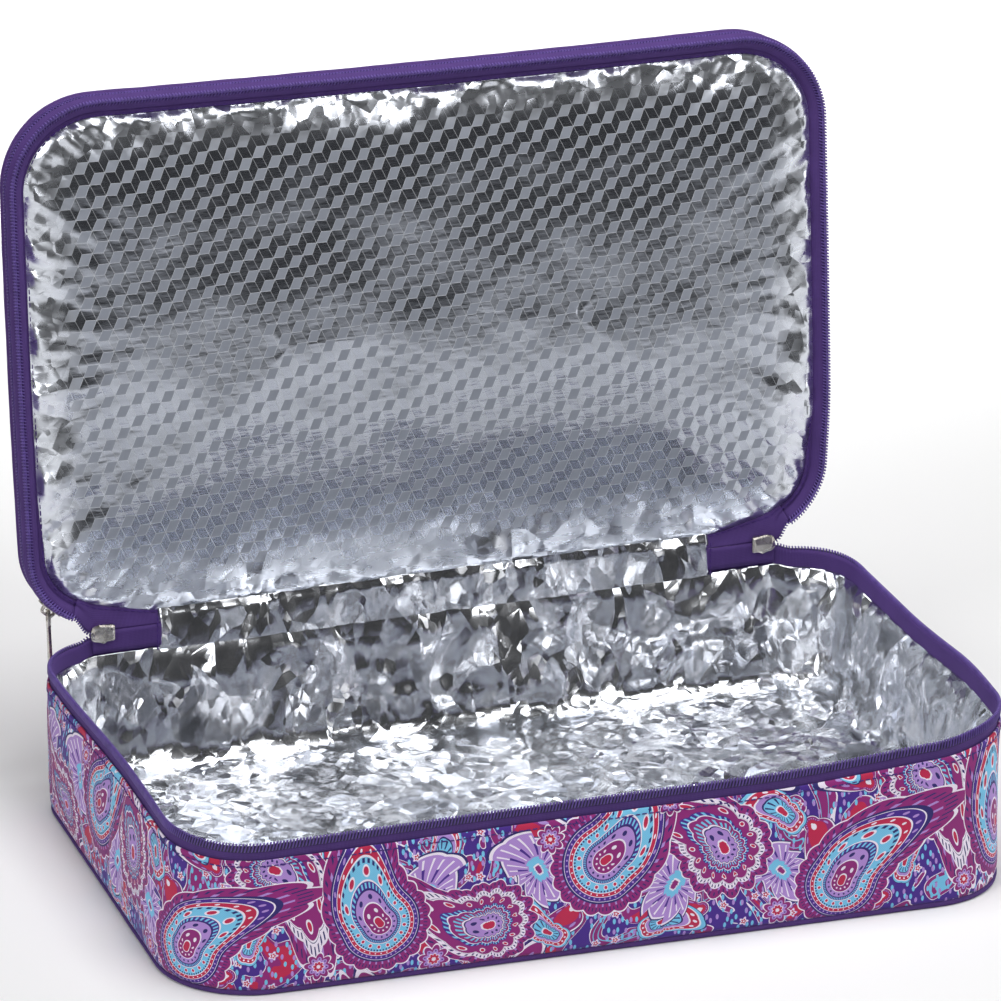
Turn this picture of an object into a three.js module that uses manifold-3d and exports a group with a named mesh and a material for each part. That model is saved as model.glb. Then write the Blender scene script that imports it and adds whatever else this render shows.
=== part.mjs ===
// Insulated casserole carrier: a soft zip-round tub, and an expandable lid that folds over it.
// Millimetres, +Z up, -Y to the front. The origin is the middle of the base, on the floor.
import * as THREE from "three";
import { mergeVertices } from "three/addons/utils/BufferGeometryUtils.js";
import Module from "manifold-3d";

const wasm = await Module();
wasm.setup();

// The bag as a whole
const bagWidth = 420;
const bagDepth = 266;
const frontRadius = 46; // plan corners at the front
const hingeRadius = 36; // plan corners at the hinge side
const lidLean = 5; // degrees back from upright, as the lid stands at rest
const clearance = 0.3; // between layers and edges that touch on the real bag

// Sheet goods
const clothThickness = 1;
const foamThickness = 4;
const foilThickness = 0.6;
const boardThickness = 2;
const bindingDiameter = 3;

// Tub
const linerTop = 65; // where the foil wall is sewn to the zip tape
const hemOverlap = 5.5; // how far the printed wall laps over the zip tape

// Zips
const tapeThickness = 0.8;
const tubTapeWidth = 9.6;
const endTapeWidth = 4.1;
const coilWidth = 2.2;
const coilThickness = 2;
const chainGap = 1.4; // between two coils, so that the slider's wedge can pass
const closedGap = 0.5; // between the open coils when the lid is shut
const zipEndReach = 29.5; // from the hinge-side corner to the stitched end of the zip
const lidZipTurn = 64; // degrees round the hinge-side corner where the lid's zip leaves it
const lidSeamInset = 9; // from the lid's outline to the seam of its zip tape

// Lid
const innerInset = 6; // from the outline to the padding, which leaves room for the gusset
const pocketDepth = 2.4; // between the two lid panels, folded flat
const expanderDepth = 6; // from the foil to the middle of the expander chain

// How the soft bag stands when it is open
const wallSwell = 3; // of the padded walls, between their seams
const padCrown = 10; // of the lid's padding, inwards
const rightLean = 7.5; // of the right wall's rim, outwards
const leftLean = 5; // of the left wall's rim, inwards
const frontSpread = 8; // of the front wall's foot, forwards
const rightSpread = 4; // of the right wall's foot, outwards
const rightLift = 2; // of the right wall's rim
const leftDrop = 1.5; // of the rim at the front left corner
const zipRise = 2.2; // of the zip's closed ends towards the hinge
const hingeTilt = 5; // of the hinge's right end, upwards
const lidSag = 3.5; // of the lid's free edge
const lidTuck = 3.5; // of the lid's corner at the hinge's right end
const sideFade = 38; // in from a side wall, where its lean has died out
const frontFade = 90; // in from the front wall, where its spread has died out
const hingeFade = 40; // in from the back wall, where the rise has died out
const hemFade = 24; // down from the hem, likewise
const lidFade = 85; // up from the hinge, where the lid no longer follows it

// Handle
const handleSpan = 210;
const handleWidth = 25;
const strapThickness = 2;
const handleRise = 24;
const handleSewnEnd = 32;
const handleRamp = 36;

// Sliders and pulls
const sliderHalfLength = 6;
const plateThickness = 1;
const plateGap = 3.2;
const lipThickness = 0.9;
const tapeSlit = 1.6;
const wedgeWidth = 0.8;
const archGap = 2.5;
const archBar = 1.2;
const archWidth = 1.8;
const pullLength = 29;
const pullWidth = 4.4;
const pullThickness = 1.6;
const expanderTurn = 50; // degrees round the corner where the expander slider is parked

// Worked out from the above
const wallFoamInset = clothThickness + clearance;
const wallLinerInset = wallFoamInset + foamThickness + clearance;
const baseLinerInset = wallLinerInset + foilThickness + clearance;
const bindingInset = bindingDiameter + clearance;
const bindingTop = clearance + bindingDiameter;
const boardBottom = clothThickness + clearance;
const wallBottom = Math.max(bindingTop, boardBottom + boardThickness) + clearance;
const baseLinerBottom = wallBottom + foamThickness + clearance;
const shellTop = linerTop + hemOverlap;
const tubTapeBottom = linerTop + clearance;
const tubTapeTop = tubTapeBottom + tubTapeWidth;
const tubCoilBottom = tubTapeTop + clearance;
const tubCoilTop = tubCoilBottom + coilWidth;
const chainHeight = tubCoilTop + chainGap / 2;
const endCoilBottom = tubCoilTop + chainGap;
const endTapeBottom = endCoilBottom + coilWidth + clearance;
const endTapeTop = endTapeBottom + endTapeWidth;
const hingeHeight = endTapeTop + clearance;
const tubTapeMiddle = wallFoamInset + tapeThickness / 2;
const cornerX = bagWidth / 2 - hingeRadius;
const zipEndX = cornerX - zipEndReach;
const lidCoilFar = hingeHeight - tubCoilTop - closedGap;
const lidCoilNear = lidCoilFar - coilWidth;
const lidTapeMiddle = clearance + tapeThickness / 2;
const lidFoamFront = -foilThickness - clearance;
const lidFoamBack = lidFoamFront - foamThickness;
const backingFront = lidFoamBack - clearance;
const backingBack = backingFront - clothThickness;
const topLiningFront = backingBack - pocketDepth;
const topLiningBack = topLiningFront - foilThickness;
const topFoamFront = topLiningBack - clearance;
const topFoamBack = topFoamFront - foamThickness;
const topPanelFront = topFoamBack - clearance;
const topPanelBack = topPanelFront - clothThickness;
const topBindingMiddle = (topPanelFront + topPanelBack) / 2;
const upperTapeBack = topBindingMiddle + bindingDiameter / 2 + clearance;
const lowerCoilNear = -expanderDepth + chainGap / 2 + coilWidth;
const upperCoilNear = -expanderDepth - chainGap / 2;
const sliderHalfWidth = chainGap / 2 + coilWidth + 0.4 + lipThickness;
const plateOuter = plateGap / 2 + plateThickness;
const pivotHeight = plateOuter + archGap / 2;

const colours = {
  print: 0x7a3f8f,
  violet: 0x4a1b6b,
  foil: 0xb9bdc4,
  foam: 0xe8e6e0,
  board: 0x3a3a3c,
  nickel: 0xc9c6c0,
  lining: 0x5a2b7c,
};

function finish(kind) {
  const metal = kind === "nickel";
  const foil = kind === "foil";
  return new THREE.MeshStandardMaterial({
    color: colours[kind],
    roughness: metal ? 0.28 : foil ? 0.35 : 0.85,
    metalness: metal ? 1 : foil ? 0.8 : 0,
  });
}

// The rim's outline is a list of stations in the lid's plane: X across, Y away from the hinge.
// Each holds its place and the direction into the bag, so that layers can be set in from it.
function corner(side, atHinge, fromAngle, toAngle) {
  const radius = atHinge ? hingeRadius : frontRadius;
  const centreX = side * (bagWidth / 2 - radius);
  const centreY = atHinge ? radius : bagDepth - radius;
  const steps = Math.max(1, Math.ceil(Math.abs(toAngle - fromAngle) / 11.26));
  const stations = [];
  for (let i = 0; i <= steps; i += 1) {
    const angle = THREE.MathUtils.degToRad(fromAngle + ((toAngle - fromAngle) * i) / steps);
    const outX = Math.cos(angle);
    const outY = Math.sin(angle);
    stations.push({ x: centreX + radius * outX, y: centreY + radius * outY, inX: -outX, inY: -outY });
  }
  return stations;
}

// Round three sides, from one hinge-side corner to the other, with each turn in degrees.
function rimRun(leftTurn, rightTurn) {
  return [
    ...corner(-1, true, 180 + leftTurn, 180),
    ...corner(-1, false, 180, 90),
    ...corner(1, false, 90, 0),
    ...corner(1, true, 0, -rightTurn),
  ];
}

// Along the hinge side, between the same turns of its two corners.
function hingeRun(turn) {
  return [...corner(1, true, -turn, -90), ...corner(-1, true, 270, 180 + turn)];
}

function straightStation(x) {
  return { x, y: 0, inX: 0, inY: 1 };
}

// The same stations seen on the tub, which lies under the shut lid.
function onTub(stations) {
  const turned = stations.map((s) => ({ x: s.x, y: bagDepth / 2 - s.y, inX: s.inX, inY: -s.inY }));
  return turned.reverse();
}

const ease = THREE.MathUtils.smoothstep;

function hingeRise(x) {
  return hingeTilt * THREE.MathUtils.clamp((x + cornerX) / (2 * cornerX), 0, 1);
}

// Where a point of the straight tub goes as it leans, spreads and is drawn up at the hinge.
function settleTub(x, y, z) {
  const halfWidth = bagWidth / 2;
  const halfDepth = bagDepth / 2;
  const height = THREE.MathUtils.clamp(z / tubCoilTop, 0, 1);
  const right = ease(x, halfWidth - sideFade, halfWidth);
  const awayFromHinge = 1 - ease(y, -halfDepth / 4, halfDepth - hingeFade);
  const left = ease(-x, halfWidth - sideFade, halfWidth) * awayFromHinge;
  const front = 1 - ease(y, -halfDepth + bindingInset, -halfDepth + frontFade);
  const spread = rightSpread * (1 - height) * ease(x, halfWidth - frontFade, halfWidth);
  const outward = right * rightLean * height ** 2 + spread;
  const inward = left * leftLean * height ** 1.5;
  const forward = frontSpread * (0.75 + x / bagWidth) * (1 - height) * front;
  const rim = ease(z, shellTop - 2 * hemFade, shellTop);
  const back = ease(y, halfDepth - hingeFade, halfDepth - baseLinerInset);
  const lift = (rightLift * right * (1 - back) - leftDrop * front * ease(-x, 0, halfWidth)) * rim;
  const hem = ease(z, shellTop - hemFade, shellTop);
  const mouth = cornerX + sliderHalfLength;
  const zipped = 1 - ease(Math.abs(x), mouth, mouth + baseLinerInset);
  const drawn = zipRise * zipped * (1 - ease(z, endTapeBottom - clearance, endTapeTop)) + hingeRise(x);
  return [x + outward + inward, y - forward, z + lift + drawn * back * hem];
}

// The same for the lid, in its own frame.
function settleLid(x, y, z) {
  const up = THREE.MathUtils.clamp(y / bagDepth, 0, 1);
  const sag = lidSag * up ** 2 * (1 - 2 * (x / bagWidth) ** 2);
  const near = 1 - ease(y, innerInset, lidFade);
  const tuck = lidTuck * ease(x, bagWidth / 2 - sideFade, bagWidth / 2) * near;
  return [x - tuck, y - sag + hingeRise(x) * near, z];
}

function settled(geometry, settle) {
  const position = geometry.getAttribute("position");
  for (let i = 0; i < position.count; i += 1) {
    position.setXYZ(i, ...settle(position.getX(i), position.getY(i), position.getZ(i)));
  }
  geometry.computeVertexNormals();
  return geometry;
}

function facingOut(geometry) {
  const place = geometry.getAttribute("position");
  const index = geometry.getIndex();
  const a = new THREE.Vector3();
  const b = new THREE.Vector3();
  const c = new THREE.Vector3();
  let volume = 0;
  for (let i = 0; i < index.count; i += 3) {
    a.fromBufferAttribute(place, index.getX(i));
    b.fromBufferAttribute(place, index.getX(i + 1));
    c.fromBufferAttribute(place, index.getX(i + 2));
    volume += a.dot(b.cross(c));
  }
  if (volume < 0) {
    const flipped = Array.from(index.array);
    for (let i = 0; i < flipped.length; i += 3) {
      [flipped[i + 1], flipped[i + 2]] = [flipped[i + 2], flipped[i + 1]];
    }
    geometry.setIndex(flipped);
  }
  geometry.computeVertexNormals();
  return geometry;
}

// A skin through a row of sections with as many points each. An open row gets its two ends filled.
function loft(sections, closed = false) {
  const index = [];
  const sides = sections[0].length;
  const spans = closed ? sections.length : sections.length - 1;
  for (let i = 0; i < spans; i += 1) {
    const here = i * sides;
    const next = ((i + 1) % sections.length) * sides;
    for (let j = 0; j < sides; j += 1) {
      const k = (j + 1) % sides;
      index.push(here + j, next + j, next + k, here + j, next + k, here + k);
    }
  }
  if (!closed) {
    const last = (sections.length - 1) * sides;
    for (let j = 1; j < sides - 1; j += 1) {
      index.push(0, j, j + 1, last, last + j + 1, last + j);
    }
  }
  const geometry = new THREE.BufferGeometry();
  geometry.setAttribute("position", new THREE.Float32BufferAttribute(sections.flat(2), 3));
  geometry.setIndex(index);
  return facingOut(geometry);
}

// A closed section, as points of inset and height, swept along stations.
function sweep(stations, section, closed = false) {
  const sections = stations.map((s) =>
    section.map(([inset, height]) => [s.x + s.inX * inset, s.y + s.inY * inset, height]),
  );
  return loft(sections, closed);
}

function strip(inset, thickness, bottom, top) {
  return [
    [inset, bottom],
    [inset + thickness, bottom],
    [inset + thickness, top],
    [inset, top],
  ];
}

// The section of a padded wall, which swells between the seams at its foot and its hem.
function swollen(inset, thickness, bottom, top) {
  const reach = shellTop - wallBottom;
  const inside = [0.25, 0.5, 0.75].map((part) => wallBottom + reach * part);
  const heights = [bottom, ...inside.filter((height) => height > bottom && height < top), top];
  const at = (depth, height) => {
    const part = THREE.MathUtils.clamp((height - wallBottom) / reach, 0, 1);
    return [depth - wallSwell * Math.sin(Math.PI * part), height];
  };
  const outer = heights.map((height) => at(inset, height));
  const inner = heights.map((height) => at(inset + thickness, height));
  return [...outer.reverse(), ...inner];
}

function bead(inset, height, thickness, width) {
  const points = [];
  for (let i = 0; i < 8; i += 1) {
    const angle = ((i + 0.5) / 8) * Math.PI * 2;
    const reach = 1 / Math.cos(Math.PI / 8);
    points.push([
      inset + (thickness / 2) * Math.cos(angle) * reach,
      height + (width / 2) * Math.sin(angle) * reach,
    ]);
  }
  return points;
}

function outlineShape(stations, inset) {
  return new THREE.Shape(stations.map((s) => new THREE.Vector2(s.x + s.inX * inset, s.y + s.inY * inset)));
}

function panel(stations, inset, bottom, top, hingeEdge = []) {
  const shape = outlineShape(stations, inset);
  const outline = [...shape.getPoints(), ...hingeEdge.map(([x, y]) => new THREE.Vector2(x, y))];
  const geometry = new THREE.ExtrudeGeometry(new THREE.Shape(outline), {
    depth: Math.abs(top - bottom),
    bevelEnabled: false,
  });
  return geometry.translate(0, 0, Math.min(bottom, top));
}

// A crowned pad: rings from an edge in to the middle line, each raised on the way, and then the back.
function padRing(stations, inset, share, depth) {
  const half = bagWidth / 2 - bagDepth / 2;
  return stations.map((s) => {
    const reach = typeof inset === "number" ? inset : inset(s);
    const x = s.x + s.inX * reach;
    const y = s.y + s.inY * reach;
    const middleX = THREE.MathUtils.clamp(x, -half, half);
    return [x + (middleX - x) * share, y + (bagDepth / 2 - y) * share, depth];
  });
}

function padRings(stations, inset, depth) {
  const shares = [0.72, 0.4, 0.2, 0.08];
  const swell = (share) => padCrown * (1 - (1 - share / shares[0]) ** 2.4);
  return shares.map((share) => padRing(stations, inset, share, depth + swell(share)));
}

function block(x0, x1, y0, y1, z0, z1) {
  const geometry = new THREE.BoxGeometry(x1 - x0, y1 - y0, z1 - z0);
  return geometry.translate((x0 + x1) / 2, (y0 + y1) / 2, (z0 + z1) / 2);
}

function toSolid(geometry) {
  const bare = geometry.clone();
  bare.deleteAttribute("normal");
  bare.deleteAttribute("uv");
  const merged = mergeVertices(bare, 1e-4);
  return new wasm.Manifold(
    new wasm.Mesh({
      numProp: 3,
      vertProperties: new Float32Array(merged.getAttribute("position").array),
      triVerts: new Uint32Array(merged.getIndex().array),
    }),
  );
}

function fromSolid(solid) {
  const mesh = solid.getMesh();
  const geometry = new THREE.BufferGeometry();
  geometry.setAttribute("position", new THREE.Float32BufferAttribute(mesh.vertProperties, 3));
  geometry.setIndex(Array.from(mesh.triVerts));
  geometry.computeVertexNormals();
  return geometry;
}

// Slider in its own frame: X along the chain with the tail at +X, Y across it, Z out of the bag.
function sliderGeometry() {
  const tail = sliderHalfLength;
  const half = sliderHalfWidth;
  const outline = new THREE.Shape();
  outline.moveTo(tail, -half + 0.8);
  outline.lineTo(tail, half - 0.8);
  outline.quadraticCurveTo(tail, half, tail - 0.8, half);
  outline.lineTo(-tail * 0.35, half + 0.15);
  outline.quadraticCurveTo(-tail * 0.95, half + 0.15, -tail, half * 0.45);
  outline.quadraticCurveTo(-tail * 0.86, 0, -tail, -half * 0.45);
  outline.quadraticCurveTo(-tail * 0.95, -half - 0.15, -tail * 0.35, -half - 0.15);
  outline.lineTo(tail - 0.8, -half);
  outline.quadraticCurveTo(tail, -half, tail, -half + 0.8);
  const plate = new THREE.ExtrudeGeometry(outline, {
    depth: plateThickness,
    bevelEnabled: false,
    curveSegments: 4,
  });
  let body = toSolid(plate.clone().translate(0, 0, plateGap / 2));
  body = body.add(toSolid(plate.clone().translate(0, 0, -plateOuter)));
  const lipReach = plateGap / 2 + plateThickness / 2;
  for (const side of [-1, 1]) {
    const edge = side * (half - lipThickness / 2);
    const y0 = edge - lipThickness / 2;
    const y1 = edge + lipThickness / 2;
    body = body.add(toSolid(block(-tail * 0.4, tail - 0.9, y0, y1, tapeSlit / 2, lipReach)));
    body = body.add(toSolid(block(-tail * 0.4, tail - 0.9, y0, y1, -lipReach, -tapeSlit / 2)));
  }
  const wedge = block(-tail * 0.85, -tail * 0.25, -wedgeWidth / 2, wedgeWidth / 2, -lipReach, lipReach);
  body = body.add(toSolid(wedge));
  const arch = new THREE.Shape();
  const foot = tail * 0.62;
  const shoulder = tail * 0.38;
  const under = plateOuter + archGap;
  const over = under + archBar;
  arch.moveTo(-foot - 0.2, plateOuter - 0.5);
  arch.quadraticCurveTo(-foot, over, -shoulder, over);
  arch.lineTo(shoulder, over);
  arch.quadraticCurveTo(foot, over, foot + 0.2, plateOuter - 0.5);
  arch.lineTo(foot - archBar, plateOuter - 0.5);
  arch.quadraticCurveTo(foot - archBar, under, shoulder - 0.3, under);
  arch.lineTo(-shoulder + 0.3, under);
  arch.quadraticCurveTo(-foot + archBar, under, -foot + archBar, plateOuter - 0.5);
  const archSolid = new THREE.ExtrudeGeometry(arch, {
    depth: archWidth,
    bevelEnabled: false,
    curveSegments: 4,
  });
  archSolid.translate(0, 0, -archWidth / 2).rotateX(Math.PI / 2);
  return fromSolid(body.add(toSolid(archSolid)));
}

// Pull in its own frame: the pin under the slider's arch is at the origin and the pull runs to +Z.
function pullGeometry() {
  const half = pullWidth / 2;
  const pin = 0.7;
  const outline = new THREE.Shape();
  outline.moveTo(-half, -pin);
  outline.lineTo(half, -pin);
  outline.lineTo(half, 5.6);
  outline.quadraticCurveTo(half, 7.4, half - 0.7, 8.4);
  outline.lineTo(half - 0.1, pullLength - 2.4);
  outline.quadraticCurveTo(half - 0.1, pullLength, 0, pullLength);
  outline.quadraticCurveTo(-half + 0.1, pullLength, -half + 0.1, pullLength - 2.4);
  outline.lineTo(-half + 0.7, 8.4);
  outline.quadraticCurveTo(-half, 7.4, -half, 5.6);
  outline.lineTo(-half, -pin);
  const windowHalf = archWidth / 2 + 0.35;
  outline.holes.push(
    new THREE.Path([
      new THREE.Vector2(-windowHalf, pin),
      new THREE.Vector2(-windowHalf, 5),
      new THREE.Vector2(windowHalf, 5),
      new THREE.Vector2(windowHalf, pin),
    ]),
  );
  const geometry = new THREE.ExtrudeGeometry(outline, {
    depth: pullThickness,
    bevelEnabled: false,
    curveSegments: 4,
  });
  geometry.translate(0, 0, -pullThickness / 2);
  const frame = new THREE.Matrix4().makeBasis(
    new THREE.Vector3(0, 1, 0),
    new THREE.Vector3(0, 0, 1),
    new THREE.Vector3(1, 0, 0),
  );
  return geometry.applyMatrix4(frame);
}

// Flat ends sewn to the lid and a raised middle, drawn from the side and run along the strap's width.
function handleGeometry() {
  const half = handleSpan / 2;
  const steps = 8;
  const rises = [[-half, 0]];
  for (let i = 0; i <= steps; i += 1) {
    const part = i / steps;
    const lift = part * part * (3 - 2 * part);
    rises.push([-half + handleSewnEnd + handleRamp * part, handleRise * lift]);
  }
  const left = rises.slice();
  for (const [x, rise] of left.reverse()) {
    rises.push([-x, rise]);
  }
  const under = rises.map(([x, rise]) => new THREE.Vector2(x, rise));
  const over = rises.map(([x, rise]) => new THREE.Vector2(x, rise + strapThickness)).reverse();
  const geometry = new THREE.ExtrudeGeometry(new THREE.Shape([...under, ...over]), {
    depth: handleWidth,
    bevelEnabled: false,
  });
  geometry.translate(0, 0, -handleWidth / 2);
  const frame = new THREE.Matrix4().makeBasis(
    new THREE.Vector3(1, 0, 0),
    new THREE.Vector3(0, 0, -1),
    new THREE.Vector3(0, 1, 0),
  );
  return geometry.applyMatrix4(frame);
}

const carrier = new THREE.Group();
carrier.name = "casserole_carrier";
const lid = new THREE.Group();
lid.position.set(0, bagDepth / 2, hingeHeight);
lid.rotation.x = THREE.MathUtils.degToRad(90 - lidLean);
carrier.add(lid);

function place(parent, name, geometry, kind) {
  const mesh = new THREE.Mesh(geometry, finish(kind));
  mesh.name = name;
  parent.add(mesh);
  return mesh;
}

function placeSoft(parent, name, geometry, kind) {
  return place(parent, name, settled(geometry, parent === lid ? settleLid : settleTub), kind);
}

// Tub
const loop = rimRun(90, 90);
const tubLoop = onTub(loop);
const zipEnds = [straightStation(-zipEndX), ...loop, straightStation(zipEndX)];
const tubZip = onTub(zipEnds);
placeSoft(carrier, "base_panel", panel(tubLoop, bindingInset, 0, clothThickness), "print");
const baseBead = bead(bindingDiameter / 2, clearance + bindingDiameter / 2, bindingDiameter, bindingDiameter);
placeSoft(carrier, "base_binding", sweep(tubLoop, baseBead, true), "violet");
const baseBoard = panel(tubLoop, bindingInset, boardBottom, boardBottom + boardThickness);
placeSoft(carrier, "base_board", baseBoard, "board");
const baseFoam = panel(tubLoop, wallLinerInset, wallBottom, wallBottom + foamThickness);
placeSoft(carrier, "base_foam", baseFoam, "foam");
const baseLiner = panel(tubLoop, baseLinerInset, baseLinerBottom, baseLinerBottom + foilThickness);
placeSoft(carrier, "base_liner", baseLiner, "foil");
const wallShell = sweep(tubLoop, swollen(0, clothThickness, wallBottom, shellTop), true);
placeSoft(carrier, "wall_shell", wallShell, "print");
const wallFoam = sweep(tubLoop, swollen(wallFoamInset, foamThickness, wallBottom, linerTop), true);
placeSoft(carrier, "wall_foam", wallFoam, "foam");
const wallLiner = sweep(tubLoop, swollen(wallLinerInset, foilThickness, baseLinerBottom, linerTop), true);
placeSoft(carrier, "wall_liner", wallLiner, "foil");
const tubTape = sweep(tubZip, strip(wallFoamInset, tapeThickness, tubTapeBottom, tubTapeTop));
placeSoft(carrier, "zip_tape_tub", tubTape, "violet");
const tubCoil = bead(tubTapeMiddle, tubCoilBottom + coilWidth / 2, coilThickness, coilWidth);
placeSoft(carrier, "zip_coil_tub", sweep(tubZip, tubCoil), "violet");

// Hinge strip between the stitched ends of the zip
const stripEnds = onTub([straightStation(-zipEndX + clearance), straightStation(zipEndX - clearance)]);
const hingeCloth = sweep(stripEnds, strip(0, clothThickness, shellTop + clearance, endTapeTop));
placeSoft(carrier, "hinge_cloth", hingeCloth, "print");
const hingeLiner = sweep(stripEnds, strip(wallFoamInset, foilThickness, tubTapeBottom, endTapeTop));
placeSoft(carrier, "hinge_liner", hingeLiner, "foil");

// Closed ends of the zip: the lid's half, where it stays zipped to the tub
const endCoilSection = bead(tubTapeMiddle, endCoilBottom + coilWidth / 2, coilThickness, coilWidth);
const endTapeSection = strip(wallFoamInset, tapeThickness, endTapeBottom, endTapeTop);
const mouthTurn = THREE.MathUtils.radToDeg(Math.asin(sliderHalfLength / hingeRadius));
for (const [word, side] of [["left", -1], ["right", 1]]) {
  const outAngle = side < 0 ? 270 - mouthTurn : -90 + mouthTurn;
  const closed = onTub([
    ...corner(side, true, outAngle, side < 0 ? 270 : -90),
    straightStation(side * zipEndX),
  ]);
  placeSoft(carrier, `zip_end_coil_${word}`, sweep(closed, endCoilSection), "violet");
  placeSoft(carrier, `zip_end_tape_${word}`, sweep(closed, endTapeSection), "violet");
}

// Lid, inner panel. Its own frame has Z into the bag.
const seamRun = rimRun(lidZipTurn, lidZipTurn);
const padEdge = lidSeamInset + clearance;
const linerTurn = Math.cos(THREE.MathUtils.degToRad(lidZipTurn + 2));
// The foil's edge leaves the zip's seam at the ends of the zip and runs out to the hinge.
function linerInset(station) {
  const turned = Math.acos(THREE.MathUtils.clamp(Math.abs(station.inX), 0, 1));
  const share = ease(turned, Math.acos(linerTurn), Math.PI / 2);
  return station.inY > 0 ? padEdge + (clearance * 2 - padEdge) * share : padEdge;
}
const linerFront = [...padRings(loop, padEdge, 0), padRing(loop, linerInset, 0, 0)];
const linerBack = [...padRings(loop, padEdge, -foilThickness), padRing(loop, linerInset, 0, -foilThickness)];
placeSoft(lid, "lid_liner", loft([...linerFront, ...linerBack.reverse()]), "foil");
const foamRings = [
  ...padRings(loop, padEdge, lidFoamFront),
  padRing(loop, padEdge, 0, lidFoamFront),
  padRing(loop, innerInset, 0, lidFoamFront),
  padRing(loop, innerInset, 0, lidFoamBack),
];
placeSoft(lid, "lid_foam", loft(foamRings), "foam");
placeSoft(lid, "lid_backing", panel(loop, innerInset, backingBack, backingFront), "lining");

const tapeFoot = new THREE.Vector2(lidSeamInset, 0);
const tapeRim = new THREE.Vector2(lidTapeMiddle + 0.5, lidCoilNear - 0.9);
const tapeAlong = tapeRim.clone().sub(tapeFoot).normalize();
const tapeSide = new THREE.Vector2(-tapeAlong.y, tapeAlong.x).multiplyScalar(tapeThickness / 2);
const lidTapeSection = [
  [tapeFoot.x - tapeSide.x, tapeFoot.y - tapeSide.y],
  [tapeRim.x - tapeSide.x, tapeRim.y - tapeSide.y],
  [tapeRim.x + tapeSide.x, tapeRim.y + tapeSide.y],
  [tapeFoot.x + tapeSide.x, tapeFoot.y + tapeSide.y],
];
placeSoft(lid, "zip_tape_lid", sweep(seamRun, lidTapeSection), "violet");
const lidCoil = bead(lidTapeMiddle + 0.3, lidCoilNear + coilWidth / 2, coilThickness, coilWidth);
placeSoft(lid, "zip_coil_lid", sweep(seamRun, lidCoil), "violet");

// Expander: two tapes, a coil on each, and the gusset folded away behind them
const chainRun = rimRun(expanderTurn + 2, lidZipTurn);
const lowerTapeTop = tapeRim.y - tapeThickness - clearance;
const lowerTapeBottom = lowerCoilNear + clearance;
const lowerTape = strip(clearance, tapeThickness, lowerTapeBottom, lowerTapeTop);
placeSoft(lid, "expander_tape_lower", sweep(seamRun, lowerTape), "violet");
const lowerCoil = bead(lidTapeMiddle, lowerCoilNear - coilWidth / 2, coilThickness, coilWidth);
placeSoft(lid, "expander_coil_lower", sweep(chainRun, lowerCoil), "violet");
const upperCoil = bead(lidTapeMiddle, upperCoilNear - coilWidth / 2, coilThickness, coilWidth);
placeSoft(lid, "expander_coil_upper", sweep(chainRun, upperCoil), "violet");
const upperTapeFront = upperCoilNear - coilWidth - clearance;
const upperTape = strip(clearance, tapeThickness, upperTapeBack, upperTapeFront);
placeSoft(lid, "expander_tape_upper", sweep(seamRun, upperTape), "violet");
const gussetFront = lidFoamFront;
const gussetBack = upperTapeBack + clearance;
const gussetInset = lidTapeMiddle + plateOuter + 0.5;
const gussetWidth = innerInset - clearance - gussetInset;
const gusset = sweep(loop, strip(gussetInset, gussetWidth, gussetBack, gussetFront), true);
placeSoft(lid, "expander_gusset", gusset, "lining");

// Back edge of the lid, where there is no zip
const backRun = hingeRun(lidZipTurn + 0.7);
const bandSplit = -expanderDepth;
const lowerBand = strip(clearance, tapeThickness, bandSplit + clearance / 2, lidFoamFront);
placeSoft(lid, "back_band_lower", sweep(backRun, lowerBand), "print");
const upperBand = strip(clearance, tapeThickness, upperTapeBack, bandSplit - clearance / 2);
placeSoft(lid, "back_band_upper", sweep(backRun, upperBand), "print");

// Lid top
placeSoft(lid, "top_lining", panel(loop, innerInset, topLiningBack, topLiningFront), "lining");
placeSoft(lid, "top_foam", panel(loop, innerInset, topFoamBack, topFoamFront), "foam");
placeSoft(lid, "top_panel", panel(loop, bindingInset, topPanelBack, topPanelFront), "print");
const topBead = bead(bindingDiameter / 2, topBindingMiddle, bindingDiameter, bindingDiameter);
placeSoft(lid, "top_binding", sweep(loop, topBead, true), "violet");
const handle = place(lid, "carry_handle", handleGeometry(), "violet");
handle.position.set(0, bagDepth / 2, topPanelBack - clearance);

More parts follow.
